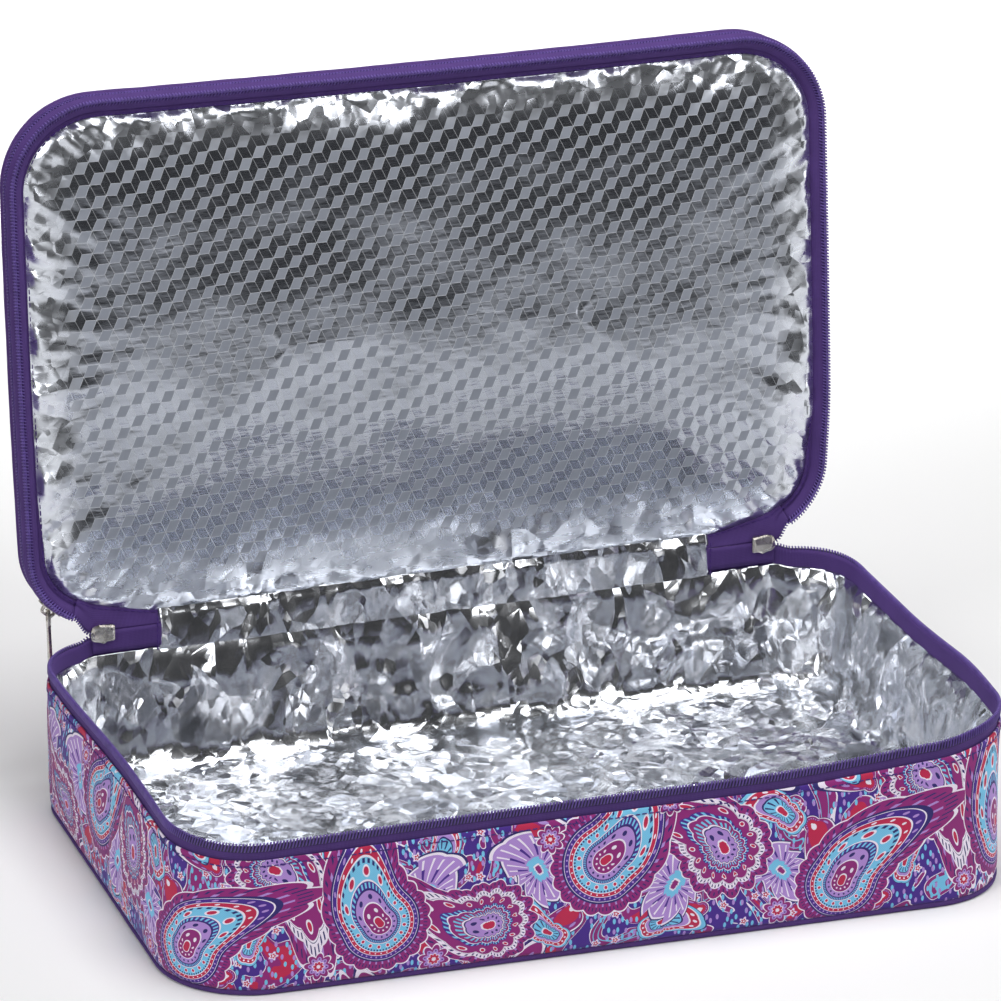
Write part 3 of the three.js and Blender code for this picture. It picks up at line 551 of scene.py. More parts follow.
# the print's layers, from the lowest: where its drops lie, their bands of ink, and the marks on them
printLayers = [
    {  # curled commas
        "drops": drops([
            (0.024, 0.062, 0.0120, 70, 0.42), (0.076, 0.020, 0.0120, -120, -0.42),
            (0.108, 0.062, 0.0130, -50, 0.42), (0.134, 0.026, 0.0120, 160, 0.42),
            (0.172, 0.060, 0.0130, 64, -0.42), (0.198, 0.016, 0.0120, 110, 0.42),
            (0.254, 0.050, 0.0130, -140, 0.42), (0.284, 0.064, 0.0120, 40, -0.42),
            (0.290, 0.010, 0.0120, 95, 0.42), (0.048, 0.080, 0.0130, -20, 0.42),
            (0.150, 0.086, 0.0130, 130, -0.42), (0.222, 0.078, 0.0120, -70, 0.42),
            (0.110, 0.158, 0.0130, 20, 0.42), (0.240, 0.160, 0.0130, -100, -0.42),
            (0.046, 0.160, 0.0120, 80, 0.42),
        ], base=0.34, tip=1.5, point=1.7),
        "bands": [(0.0, "pale"), (0.12, "crimson"), (0.5, "plum"), (0.84, "pale"), (0.93, "navy")],
        "marks": [(ringOfDots, 0.62, 16, 0.07, "lavender")],
        "edge": 1.0,
    },
    {  # leaves
        "drops": drops([
            (0.008, 0.058, 0.0150, 20, 0.35), (0.070, 0.058, 0.0140, -35, -0.3),
            (0.122, 0.014, 0.0130, 60, 0.3), (0.178, 0.012, 0.0140, -70, 0.35),
            (0.240, 0.058, 0.0150, 45, -0.35), (0.300, 0.026, 0.0120, -10, 0.3),
            (0.118, 0.078, 0.0140, 80, 0.3), (0.068, 0.142, 0.0140, 15, -0.3),
            (0.200, 0.146, 0.0150, 130, 0.3), (0.262, 0.078, 0.0130, -95, 0.3),
        ], base=0.42, tip=1.0, tail=0.45, point=3.0, lobes=4.0, lobeSize=0.08),
        "bands": [
            (0.0, "crimson"), (0.16, "pale"), (0.2, "sky"), (0.46, "navy"), (0.5, "lavender"),
            (0.62, "pale"), (0.66, "crimson"), (0.84, "pale"), (0.88, "sky"), (0.97, "navy"),
        ],
        "marks": [(ringOfDots, 0.75, 24, 0.045, "pale"), (comb, 0.24, 0.44, 18, 0.3, "navy")],
        "edge": 1.0,
    },
    {  # leaves with notched edges and veins
        "drops": drops([
            (0.062, 0.040, 0.0150, -14, 0.2), (0.118, 0.046, 0.0150, 28, -0.25),
            (0.184, 0.030, 0.0160, -34, 0.25), (0.238, 0.030, 0.0145, 44, -0.2),
            (0.296, 0.046, 0.0160, -62, 0.25), (0.014, 0.032, 0.0150, 18, 0.25),
            (0.066, 0.100, 0.0160, 62, -0.2), (0.132, 0.100, 0.0160, -20, 0.25),
            (0.198, 0.090, 0.0150, 104, 0.2), (0.262, 0.140, 0.0160, -40, -0.25),
            (0.012, 0.150, 0.0150, 30, 0.2), (0.320, 0.108, 0.0150, -80, 0.2),
        ], base=0.62, tip=0.9, tail=0.5, point=2.2, teeth=1.75, toothSize=0.3),
        "bands": [
            (0.0, "plum"), (0.1, "pale"), (0.14, "sky"), (0.3, "lavender"), (0.9, "pale"), (0.955, "navy"),
        ],
        "marks": [(comb, 0.34, 0.84, 26, 0.22, "pale"), (comb, 0.34, 0.62, 13, 0.2, "violet")],
        "edge": 1.0,
    },
    {  # scalloped drops
        "drops": drops([
            (0.094, 0.022, 0.0140, 105, 0.3, 1.3, 0.14), (0.210, 0.044, 0.0150, 20, -0.3, 1.2, 0.15),
            (0.312, 0.064, 0.0145, -115, 0.28, 1.3, 0.14), (0.034, 0.104, 0.0150, -40, -0.3, 1.25, 0.15),
            (0.166, 0.112, 0.0145, 10, 0.3, 1.25, 0.14), (0.292, 0.138, 0.0150, 200, 0.25, 1.2, 0.14),
        ], lobes=7.0),
        "border": (1.14, 1.34, 62, 16),
        "bands": [
            (0.0, "crimson"), (0.12, "pale"), (0.15, "lavender"), (0.36, "navy"), (0.38, "pale"),
            (0.41, "plum"), (0.58, "pale"), (0.6, "violet"), (0.68, "plum"), (0.97, "pale"),
            (0.99, "navy"), (1.02, "sky"), (1.125, "pale"),
        ],
        "marks": [
            (comb, 0.42, 0.52, 44, "sky"), (comb, 0.6, 0.67, 52, 0.4, "sky"),
            (comb, 1.03, 1.11, 70, 0.35, "navy"), (ringOfDots, 0.84, 15, 0.075, "pale"),
            (ringOfDots, 0.84, 15, 0.05, "crimson"), (ringOfDots, 0.26, 11, 0.04, "navy"),
        ],
        "edge": 1.14,
    },
    {  # big nested drops
        "drops": drops([
            (0.040, 0.030, 0.0185, 38, 0.22, 1.25), (0.150, 0.046, 0.0200, -62, -0.25, 1.2),
            (0.268, 0.020, 0.0175, -20, 0.3, 1.35), (0.098, 0.124, 0.0195, 150, 0.25, 1.3),
            (0.232, 0.112, 0.0190, 75, -0.28, 1.25),
        ]),
        "border": (1.05, 1.24, 84, 20),
        "bands": [
            (0.0, "crimson"), (0.09, "pale"), (0.11, "plum"), (0.28, "pale"), (0.3, "lavender"),
            (0.43, "navy"), (0.45, "violet"), (0.53, "pale"), (0.55, "sky"), (0.76, "pale"),
            (0.78, "crimson"), (0.865, "pale"), (0.88, "violet"), (0.985, "pale"), (1.0, "sky"),
            (1.035, "navy"),
        ],
        "marks": [
            (comb, 0.46, 0.52, 60, "sky"), (comb, 0.71, 0.755, 58, 0.5, "navy"),
            (ringOfDots, 0.635, 17, 0.062, "pale"), (ringOfDots, 0.635, 17, 0.042, "crimson"),
            (ringOfDots, 0.365, 16, 0.03, "navy"), (ringOfDots, 0.195, 10, 0.028, "pale"),
            (ringOfDots, 0.823, 34, 0.02, "pale"), (ringOfDots, 0.93, 44, 0.026, "lavender"),
        ],
        "edge": 1.05,
    },
    {  # rosettes
        "drops": drops([
            (0.066, 0.008, 0.0078, 10), (0.124, 0.060, 0.0070, 30), (0.236, 0.010, 0.0074, 0),
            (0.184, 0.070, 0.0066, 20), (0.010, 0.012, 0.0072, 15), (0.286, 0.094, 0.0074, 5),
            (0.136, 0.156, 0.0074, 25), (0.020, 0.146, 0.0070, 0),
        ], bend=0.0, base=0.72, tip=0.0, lobes=4.0, lobeSize=0.34),
        "bands": [
            (0.0, "pale"), (0.14, "crimson"), (0.34, "pale"), (0.4, "lavender"), (0.66, "plum"),
            (0.9, "pale"),
        ],
        "marks": [(ringOfDots, 0.53, 8, 0.05, "navy")],
        "edge": 1.0,
    },
]
printGround = {
    "scale": 30.0, "distortion": 1.4,
    "bands": [
        (0.0, "crimson"), (0.33, "plum"), (0.408, "pale"), (0.418, "violet"),
        (0.60, "pale"), (0.61, "plum"), (0.655, "sky"), (0.665, "plum"),
    ],
    # small slanting ticks: angle, scale, ink, size
    "ticks": [(35, 330.0, "sky", 0.24), (-40, 280.0, "lavender", 0.2)],
    # small five-petal flowers
    "flowerScale": 78.0, "flowerRadius": 0.0021, "petalDepth": 0.0006,
    "flowerBands": [(0.0, "pale"), (0.22, "crimson"), (0.55, "pale"), (0.85, "lavender")],
    "threads": 1900.0,
}


# a plum border round a drop, ribbed and scalloped, with a pale edge
def border(n, colour, reach, turn, low, high, ribs, scallops):
    wave = n.absolute(n.math("SINE", n.times(turn, scallops * math.pi)))
    edge = n.scaled(wave, 0.09, high)
    colour = n.mix(n.below(reach, n.plus(edge, 0.035)), colour, inks["pale"])
    colour = n.mix(n.below(reach, edge), colour, inks["plum"])
    middle = (low + high) / 2
    colour = n.mix(comb(n, reach, turn, middle, high, ribs, 0.3), colour, inks["navy"])
    return n.mix(comb(n, reach, turn, low, middle - 0.02, ribs * 0.5, 0.26), colour, inks["lavender"])


def flatCells(n, vector, scale, spread):
    inputs = {"Vector": vector, "Scale": scale, "Randomness": spread}
    cells = n.made("ShaderNodeTexVoronoi", inputs, voronoi_dimensions="2D")
    return cells, n.made("ShaderNodeSeparateColor", {0: cells["Color"]})


def groundInks(n, uv):
    field = n.noise(uv, printGround["scale"], 1.0, "2D", Distortion=printGround["distortion"])
    colour = inkBands(n, field[0], printGround["bands"])
    for angle, scale, ink, size in printGround["ticks"]:
        turned = {"Vector": uv, "Rotation": (0, 0, math.radians(angle)), "Scale": (scale, scale * 0.5, 1.0)}
        cells, pick = flatCells(n, n.made("ShaderNodeMapping", turned)[0], 1.0, 0.6)
        shown = n.times(n.below(cells["Distance"], size), n.above(pick[0], 0.3))
        colour = n.mix(shown, colour, inks[ink])
    cells, pick = flatCells(n, uv, printGround["flowerScale"], 0.8)
    local = n.vector("SUBTRACT", uv, cells["Position"])[0]
    parts = n.split(local)
    spin = n.times(n.math("ARCTAN2", parts[1], parts[0]), 5.0)
    petal = n.scaled(n.math("COSINE", spin), printGround["petalDepth"], printGround["flowerRadius"])
    flower = n.math("DIVIDE", n.vector("LENGTH", local)["Value"], petal)
    shown = n.times(n.below(flower, 1.0), n.above(pick[1], 0.35))
    return n.mix(shown, colour, inkBands(n, flower, printGround["flowerBands"]))


def makePrint():
    material, n, shader = newMaterial("printCloth", 0.78)
    uv = n.cloth()
    colour = groundInks(n, uv)
    u, v = n.split(uv)[:2]
    for layer in printLayers:
        reach, turn = nearestDrop(n, u, v, layer["drops"])
        if "border" in layer:
            colour = border(n, colour, reach, turn, *layer["border"])
        paint = inkBands(n, reach, layer["bands"])
        for mark, *sizes, ink in layer["marks"]:
            paint = n.mix(mark(n, reach, turn, *sizes), paint, inks[ink])
        colour = n.mix(n.below(reach, layer["edge"]), colour, paint)

    # the plain weave under the ink; its low spots are painted darker as shade, with a random fade on top
    weave = weaveHeight(n, uv, printGround["threads"])
    worn = n.noise(uv, 45.0, 3.0, "2D")[0]
    shade = n.scaled(weave, 0.16, n.scaled(worn, 0.16, 0.82))
    tint = n.made("ShaderNodeHueSaturation", {"Color": colour, "Value": shade})
    n.link(tint[0], shader.inputs["Base Color"])
    bumped(n, shader, weave, 0.25, 0.00012)
    shader.inputs["Sheen Weight"].default_value = 0.12
    shader.inputs["Sheen Roughness"].default_value = 0.5
    return material


# over-and-under threads as a height from 0 to 1, at threads per metre
def weaveHeight(n, uv, threads):
    turns = threads * math.pi
    apart = n.split(n.made("ShaderNodeMapping", {"Vector": uv, "Scale": (turns, turns, 1.0)})[0])
    cross = n.times(n.math("SINE", apart[0]), n.math("SINE", apart[1]))
    return n.scaled(cross, 0.5, 0.5)


def bumped(n, shader, height, strength, distance):
    bump = n.add("ShaderNodeBump")
    bump.inputs["Strength"].default_value = strength
    bump.inputs["Distance"].default_value = distance
    n.link(height, bump.inputs["Height"])
    n.link(bump.outputs[0], shader.inputs["Normal"])
    return bump


# ribbed cloth in one violet, for tape, piping, lining and webbing
def makeRibbed(name, colour, dark, ribs, slant, strength, roughness=0.82, sheen=0.25):
    material, n, shader = newMaterial(name, roughness)
    apart = n.split(n.cloth())
    across = n.scaled(apart[1], slant, apart[0])
    rib = n.scaled(n.math("SINE", n.times(across, ribs * 2 * math.pi)), 0.5, 0.5)
    crossRib = n.scaled(n.math("SINE", n.times(apart[1], ribs * 1.6 * math.pi)), 0.5, 0.5)
    height = n.scaled(crossRib, 0.4, n.times(rib, 0.6))
    worn = n.noise(n.place(), 90.0, 4.0)[0]
    # painted shade: the low parts of the ribs take the darker violet, mixed with a random fade
    share = n.scaled(height, 0.55, n.times(worn, 0.5), clamp=True)
    n.link(n.mix(share, srgb(*dark), srgb(*colour)), shader.inputs["Base Color"])
    bumped(n, shader, height, strength, 0.0002)
    shader.inputs["Sheen Weight"].default_value = sheen
    shader.inputs["Sheen Roughness"].default_value = 0.45
    shader.inputs["Sheen Tint"].default_value = srgb(150, 110, 220)
    return material


# a tone that changes from dark to light, and a roughness that goes with it
def toned(n, shader, tone, dark, light, low, rise):
    n.link(n.mix(tone, srgb(*dark), srgb(*light)), shader.inputs["Base Color"])
    n.link(n.scaled(tone, rise, low), shader.inputs["Roughness"])


# smooth dyed nylon of the teeth, with a slight change along the coil
def makeNylon(name, dark, light):
    material, n, shader = newMaterial(name, 0.42)
    toned(n, shader, n.noise(n.place(), 260.0, 3.0)[0], dark, light, 0.34, 0.2)
    return material


# embossed foil: cells of three rhombs, one of them matt, on the panel's own flat map
foilCell = {"side": 0.0050, "high": 0.01125, "relief": 0.00013, "line": 0.034, "drift": 0.0022}


def foilPattern(n, u, v):
    s, h = foilCell["side"], foilCell["high"]

    def cell(shiftU, shiftV):
        x = n.math("WRAP", n.plus(u, shiftU), 1.5 * s, -1.5 * s)
        y = n.math("WRAP", n.plus(v, shiftV), h / 2, -h / 2)
        ax, ay = n.absolute(x), n.absolute(y)
        rim = n.most(n.times(ay, 2 / h), n.plus(n.times(ax, 1 / s), n.times(ay, 1 / h)))
        return x, y, rim

    x0, y0, rim0 = cell(0.0, 0.0)
    x1, y1, rim1 = cell(1.5 * s, h / 2)
    second = n.below(rim1, rim0)

    def pick(a, b):
        return n.scaled(second, n.minus(b, a), a)

    x, y = n.times(pick(x0, x1), 1 / s), n.times(pick(y0, y1), 1 / h)
    rim = n.least(rim0, rim1)
    right = n.minus(1.0, x)
    upper = n.minus(n.scaled(x, 0.5, 1.0), n.times(y, 1.5))
    lower = n.plus(n.scaled(x, 0.5, 1.0), n.times(y, 1.5))
    left = n.least(upper, lower)
    height = n.least(right, left)
    onUpper = n.times(n.below(upper, right), n.below(upper, lower))
    onLower = n.times(n.below(lower, right), n.below(lower, upper))
    # distance to the nearest ridge between two of the three, or to the cell's rim
    gapA = n.absolute(n.minus(right, left))
    gapB = n.plus(n.absolute(n.minus(upper, lower)), n.times(n.below(right, left), 9.0))
    seam = n.least(n.least(gapA, gapB), n.times(n.minus(1.0, rim), 1.6))
    return height, onUpper, onLower, n.below(seam, foilCell["line"])


# flat facets, each tilted its own way
def facets(n, place, sizes, share=1.0):
    normal = n.add("ShaderNodeNewGeometry").outputs["Normal"]
    for size, tilt in sizes:
        cells = n.made("ShaderNodeTexVoronoi", {"Vector": place, "Scale": size}, feature="F1")
        centred = n.vector("SUBTRACT", cells["Color"], (0.5, 0.5, 0.5))[0]
        leaned = {0: centred, "Scale": n.times(share, tilt)}
        leaned = n.made("ShaderNodeVectorMath", leaned, operation="SCALE")[0]
        normal = n.vector("ADD", leaned, normal)[0]
    return n.vector("NORMALIZE", normal)[0]


foilRim = {
    "radius": 0.046, "wide": 0.027, "narrow": 0.006, "ragged": 0.018, "facets": [(80.0, 0.36), (190.0, 0.22)],
}


# near the rim the foil is gathered: 1 there, 0 on the panel, with a ragged edge
def foilRimShare(n, uv, drift):
    apart = n.split(uv)
    outs = (n.absolute(apart[0]), n.absolute(n.minus(apart[1], bag["depth"] / 2)))
    sides = []
    for out, half in zip(outs, (bag["width"] / 2, bag["depth"] / 2)):
        past = n.most(n.minus(out, half - foilRim["radius"]), 0.0)
        sides.append(n.math("POWER", past, 2.0))
    corner = n.math("POWER", n.plus(*sides), 0.5)
    edge = {
        "Value": n.scaled(drift, foilRim["ragged"], corner),
        "From Min": foilRim["radius"] - foilRim["wide"],
        "From Max": foilRim["radius"] - foilRim["narrow"],
    }
    return n.made("ShaderNodeMapRange", edge, interpolation_type="SMOOTHSTEP")[0]


def makeEmbossedFoil():
    material, n, shader = newMaterial("embossedFoil", 0.2, 1.0)
    uv = n.cloth()
    drift = n.noise(uv, 22.0, 2.0, "2D")
    shift = (foilCell["drift"], foilCell["drift"], 0.0)
    apart = n.split(n.vector("MULTIPLY_ADD", drift["Color"], shift, uv)[0])
    pattern = foilPattern(n, apart[0], apart[1])
    # fine creases that run across the panel
    across = {"Vector": uv, "Scale": (90.0, 330.0, 1.0), "Rotation": (0, 0, math.radians(-6))}
    crinkle = n.noise(n.made("ShaderNodeMapping", across)[0], 1.0, 3.0, "2D", Roughness=0.5)[0]
    # at the rim the pattern is pulled flat and small facets take its place
    rim = foilRimShare(n, uv, drift[0])
    kept = n.minus(1.0, rim)
    height, onUpper, onLower, line = (n.times(part, kept) for part in pattern)
    # painted shade: the rhombs of a cell get three tones for the light and shade on their tilts; the matt one
    # is also made rougher below
    tone = n.mix(onUpper, srgb(196, 201, 212), srgb(176, 181, 192))
    tone = n.mix(onLower, tone, srgb(188, 193, 205))
    # painted highlight: the ridges between rhombs are painted lighter, and made rougher below
    tone = n.mix(line, tone, srgb(230, 233, 238))
    # painted highlight: near the rim the foil's colour is painted lighter
    n.link(n.mix(rim, tone, srgb(226, 230, 238)), shader.inputs["Base Color"])
    rough = n.scaled(onUpper, 0.44, 0.14)
    rough = n.scaled(rim, 0.1, rough)
    rough = n.scaled(line, 0.3, rough)
    n.link(n.scaled(crinkle, 0.08, rough), shader.inputs["Roughness"])
    bump = bumped(n, shader, height, 1.0, foilCell["relief"])
    fine = {
        "Strength": n.scaled(kept, 0.17, 0.05), "Distance": 0.0005, "Height": crinkle,
        "Normal": facets(n, uv, foilRim["facets"], rim),
    }
    n.link(n.made("ShaderNodeBump", fine)[0], bump.inputs["Normal"])
    return material


# crumpled foil: flat facets in three sizes
crumple = {"warp": 0.012, "upright": 0.6, "facets": [(48.0, 0.5), (100.0, 0.4), (210.0, 0.22)]}


def makeCrumpledFoil():
    material, n, shader = newMaterial("crumpledFoil", 0.16, 1.0)
    place = n.place()
    warp = n.noise(place, 30.0, 1.0)["Color"]
    moved = n.vector("MULTIPLY_ADD", warp, (crumple["warp"],) * 3, place)[0]
    upright = n.made("ShaderNodeMapping", {"Vector": moved, "Scale": (1.0, 1.0, crumple["upright"])})[0]
    n.link(facets(n, upright, crumple["facets"]), shader.inputs["Normal"])
    toned(n, shader, n.noise(place, 60.0)[0], (204, 207, 214), (234, 236, 240), 0.12, 0.18)
    return material


# cast and plated metal: brushed a little, with wear
def makeNickel():
    material, n, shader = newMaterial("nickel", 0.24, 1.0)
    tone = n.noise(n.place(), 240.0, 3.0)[0]
    toned(n, shader, tone, (176, 168, 158), (236, 232, 226), 0.16, 0.22)
    bumped(n, shader, tone, 0.05, 0.0001)
    return material


printCloth = makePrint()
zipTape = makeRibbed("zipTape", (88, 58, 134), (56, 34, 92), 1500.0, 0.0, 0.35)
violetPiping = makeRibbed("violetPiping", (90, 56, 132), (58, 34, 92), 1600.0, 1.0, 0.4)
liningCloth = makeRibbed("liningCloth", (84, 46, 134), (58, 28, 102), 1300.0, 0.0, 0.3, 0.86, 0.15)
webbing = makeRibbed("webbing", (76, 36, 134), (46, 18, 92), 700.0, 0.6, 0.6)
thread = makeRibbed("thread", (74, 36, 132), (44, 18, 88), 2500.0, 1.0, 0.3, 0.7)
zipNylon = makeNylon("zipNylon", (66, 44, 112), (118, 92, 178))
# the coil's cord, painted near black as the shade in the gaps between the teeth
zipCord = makeNylon("zipCord", (30, 18, 56), (46, 30, 80))
embossedFoil = makeEmbossedFoil()
crumpledFoil = makeCrumpledFoil()
nickel = makeNickel()
print("materials ready")


# one tree for whatever repeats along a line: teeth and stitches
def repeatTree():
    tree = bpy.data.node_groups.new("repeatAlong", "GeometryNodeTree")
    face = tree.interface
    face.new_socket("Geometry", in_out="INPUT", socket_type="NodeSocketGeometry")
    face.new_socket("Shape", in_out="INPUT", socket_type="NodeSocketObject")
    face.new_socket("Size", in_out="INPUT", socket_type="NodeSocketFloat").default_value = 1.0
    face.new_socket("Vary", in_out="INPUT", socket_type="NodeSocketFloat").default_value = 0.0
    face.new_socket("Finish", in_out="INPUT", socket_type="NodeSocketMaterial")
    face.new_socket("Geometry", in_out="OUTPUT", socket_type="NodeSocketGeometry")
    n = Nodes(tree)
    given = n.add("NodeGroupInput").outputs
    made = n.add("NodeGroupOutput").inputs

    def stored(name):
        way = n.made("GeometryNodeInputNamedAttribute", {"Name": name}, data_type="FLOAT_VECTOR")
        return way["Attribute"]

    axes = {"Primary Axis": stored("along"), "Secondary Axis": stored("up")}
    turn = n.made("FunctionNodeAxesToRotation", axes, primary_axis="X", secondary_axis="Z")
    vary = n.made("FunctionNodeRandomValue", {2: -1.0, 3: 1.0, "Seed": 7}, data_type="FLOAT")[1]
    instances = n.made("GeometryNodeInstanceOnPoints", {
        "Points": n.made("GeometryNodeMeshToPoints", {"Mesh": given["Geometry"]})["Points"],
        "Instance": n.made("GeometryNodeObjectInfo", {"Object": given["Shape"]})["Geometry"],
        "Rotation": turn["Rotation"],
        "Scale": n.scaled(vary, given["Vary"], given["Size"]),
    })["Instances"]
    whole = n.made("GeometryNodeRealizeInstances", {0: instances})[0]
    finish = n.made("GeometryNodeSetMaterial", {"Geometry": whole, "Material": given["Finish"]})
    n.link(finish["Geometry"], made["Geometry"])
    return tree


repeatAlong = repeatTree()
treeSockets = {s.name: s.identifier for s in repeatAlong.interface.items_tree if s.in_out == "INPUT"}


# points at an even pitch on a path, with the way along and the way up at each
def spaced(path, ups, pitch, start=0.0):
    reach = runLength(path)
    count = int((reach[-1] - start) / pitch)
    marks = start + pitch * np.arange(count + 1)
    up = readAt(marks, reach, np.asarray(ups, float))
    near = 0.4 * pitch
    along = readAt(marks + near, reach, path) - readAt(marks - near, reach, path)
    along /= np.maximum(np.linalg.norm(along, axis=1, keepdims=True), 1e-9)
    up -= along * (up * along).sum(1, keepdims=True)
    up /= np.maximum(np.linalg.norm(up, axis=1, keepdims=True), 1e-9)
    return readAt(marks, reach, path), along, up


def repeated(name, shape, runs, material, vary=0.0):
    points = np.concatenate([r[0] for r in runs])
    mesh = bpy.data.meshes.new(name)
    mesh.from_pydata(points.tolist(), [], [])
    for key, column in (("along", 1), ("up", 2)):
        layer = mesh.attributes.new(key, "FLOAT_VECTOR", "POINT")
        layer.data.foreach_set("vector", np.concatenate([r[column] for r in runs]).ravel())
    piece = newPiece(name, mesh)
    maker = piece.modifiers.new("repeat", "NODES")
    maker.node_group = repeatAlong
    maker[treeSockets["Shape"]] = shape
    maker[treeSockets["Vary"]] = vary
    maker[treeSockets["Finish"]] = material
    settle(piece)
    piece.data.polygons.foreach_set("use_smooth", [True] * len(piece.data.polygons))
    return piece


# a small rounded bar along an axis, with its own radius at each ring
def barShape(name, rings, sides=6, axis=2, lean=0.0):
    verts, faces = [], []
    for height, halfWide, halfThick in rings:
        for j in range(sides):
            a = 2 * math.pi * (j + 0.5) / sides
            p = (halfWide * math.cos(a) + lean * height, halfThick * math.sin(a), height)
            verts.append(p if axis == 2 else (p[2], p[1], p[0]))
    for i in range(len(rings) - 1):
        for j in range(sides):
            k = (j + 1) % sides
            faces.append((i * sides + j, i * sides + k, (i + 1) * sides + k, (i + 1) * sides + j))
    faces.append(tuple(reversed(range(sides))))
    faces.append(tuple((len(rings) - 1) * sides + j for j in range(sides)))
    mesh = bpy.data.meshes.new(name)
    mesh.from_pydata(verts, [], faces)
    return faceOut(newPiece(name, mesh))


toothShape = barShape("toothShape", [
    (-3.0 * mm, 0.26 * mm, 0.5 * mm),
    (-2.5 * mm, 0.4 * mm, 1.0 * mm),
    (0.55 * mm, 0.42 * mm, 0.95 * mm),
    (0.95 * mm, 0.5 * mm, 0.8 * mm),
    (1.25 * mm, 0.3 * mm, 0.4 * mm),
], lean=0.3)
# the expander's chain is closed, so its teeth are shorter
chainShape = barShape("chainShape", [
    (-1.1 * mm, 0.34 * mm, 0.6 * mm),
    (-0.7 * mm, 0.42 * mm, 0.9 * mm),
    (0.6 * mm, 0.42 * mm, 0.85 * mm),
    (1.15 * mm, 0.3 * mm, 0.4 * mm),
], lean=0.3)
stitchShape = barShape("stitchShape", [
    (-1.25 * mm, 0.12 * mm, 0.12 * mm),
    (-0.95 * mm, 0.3 * mm, 0.34 * mm),
    (0.95 * mm, 0.3 * mm, 0.34 * mm),
    (1.25 * mm, 0.12 * mm, 0.12 * mm),
], axis=0)
stitches = {"pitch": 0.0034, "vary": 0.08}


def stitched(name, runs):
    return repeated(name, stitchShape, runs, thread, stitches["vary"])


# tub, from the base up

rimStep = 0.0028
fineStep = rimStep / 2
tubLoop = rimLine(90, 90, rimStep, loop=True)
tubZip = rimLine(90, 90, rimStep, tailX=bag["zipEnd"])
fineZip = rimLine(90, 90, fineStep, tailX=bag["zipEnd"])


def loopUs(line):
    return np.append(line[2], line[2][-1] + rimStep)


# a grid of points swollen under pressure by Blender's cloth, held where told: how far each moved out
swell = {"pressure": 4.0, "slack": 0.004, "frames": 20, "quality": 6}


def swollen(name, rows, out, held):
    count, across = rows.shape[:2]
    grain = 1e-5
    keys, spots = np.unique(np.round(rows.reshape(-1, 3) / grain).astype(int), axis=0, return_inverse=True)
    spots = spots.reshape(count, across)
    ahead = np.roll(spots, -1, 0)
    faces = []
    quads = np.stack([spots[:, :-1], spots[:, 1:], ahead[:, 1:], ahead[:, :-1]], 2)
    for quad in quads.reshape(-1, 4).tolist():
        corners = list(dict.fromkeys(quad))
        if len(corners) > 2:
            faces.append(corners)
    mesh = bpy.data.meshes.new(name)
    mesh.from_pydata((keys * grain).tolist(), [], faces)
    mesh.update()
    piece = newPiece(name, mesh)
    outward = Vector(out[0, 0]).dot(mesh.polygons[0].normal)
    group = piece.vertex_groups.new(name="held")
    group.add(np.unique(spots[held]).tolist(), 1.0, "REPLACE")
    cloth = piece.modifiers.new("swell", "CLOTH")
    cloth.settings.vertex_group_mass = "held"
    cloth.settings.quality = swell["quality"]
    cloth.settings.use_pressure = True
    cloth.settings.uniform_pressure_force = math.copysign(swell["pressure"], outward)
    cloth.settings.shrink_min = -swell["slack"]
    cloth.settings.effector_weights.gravity = 0.0
    cloth.collision_settings.use_collision = False
    cloth.point_cache.frame_start = 1
    cloth.point_cache.frame_end = swell["frames"]
    for step in range(1, swell["frames"] + 1):
        scene.frame_set(step)
    shaped = piece.evaluated_get(bpy.context.evaluated_depsgraph_get()).data
    places = np.empty(len(shaped.vertices) * 3)
    shaped.vertices.foreach_get("co", places)
    scene.frame_set(1)
    bpy.data.objects.remove(piece)
    bpy.data.meshes.remove(mesh)
    moved = places.reshape(-1, 3)[spots] - rows
    lift = (moved * out).sum(2)
    print(name, "swelled", round(float(lift.max()) * 1000, 2), "mm")
    return np.clip(lift, 0.0, None)


# a thinned grid's values on the full grid: along the loop by count, across it by share
def refined(values, step, count, marks, wanted):
    reach = np.arange(count) / step
    low = np.floor(reach).astype(int)
    part = (reach - low)[:, None]
    full = values[low % len(values)] * (1 - part) + values[(low + 1) % len(values)] * part
    return np.array([np.interp(wanted, marks, line) for line in full])


wall = {
    "bottom": 0.0028, "top": 0.0688, "bulge": 0.0030, "rightEase": 0.65, "cloth": 0.0009, "rows": 30,
    "simRows": 15, "tuck": 0.0011, "tuckHeight": 0.0022, "hemTuck": 0.0003, "wrinkle": 0.0009,
    "gather": 0.0006, "stitchAt": 0.0662, "stitchOut": 0.00015,
}


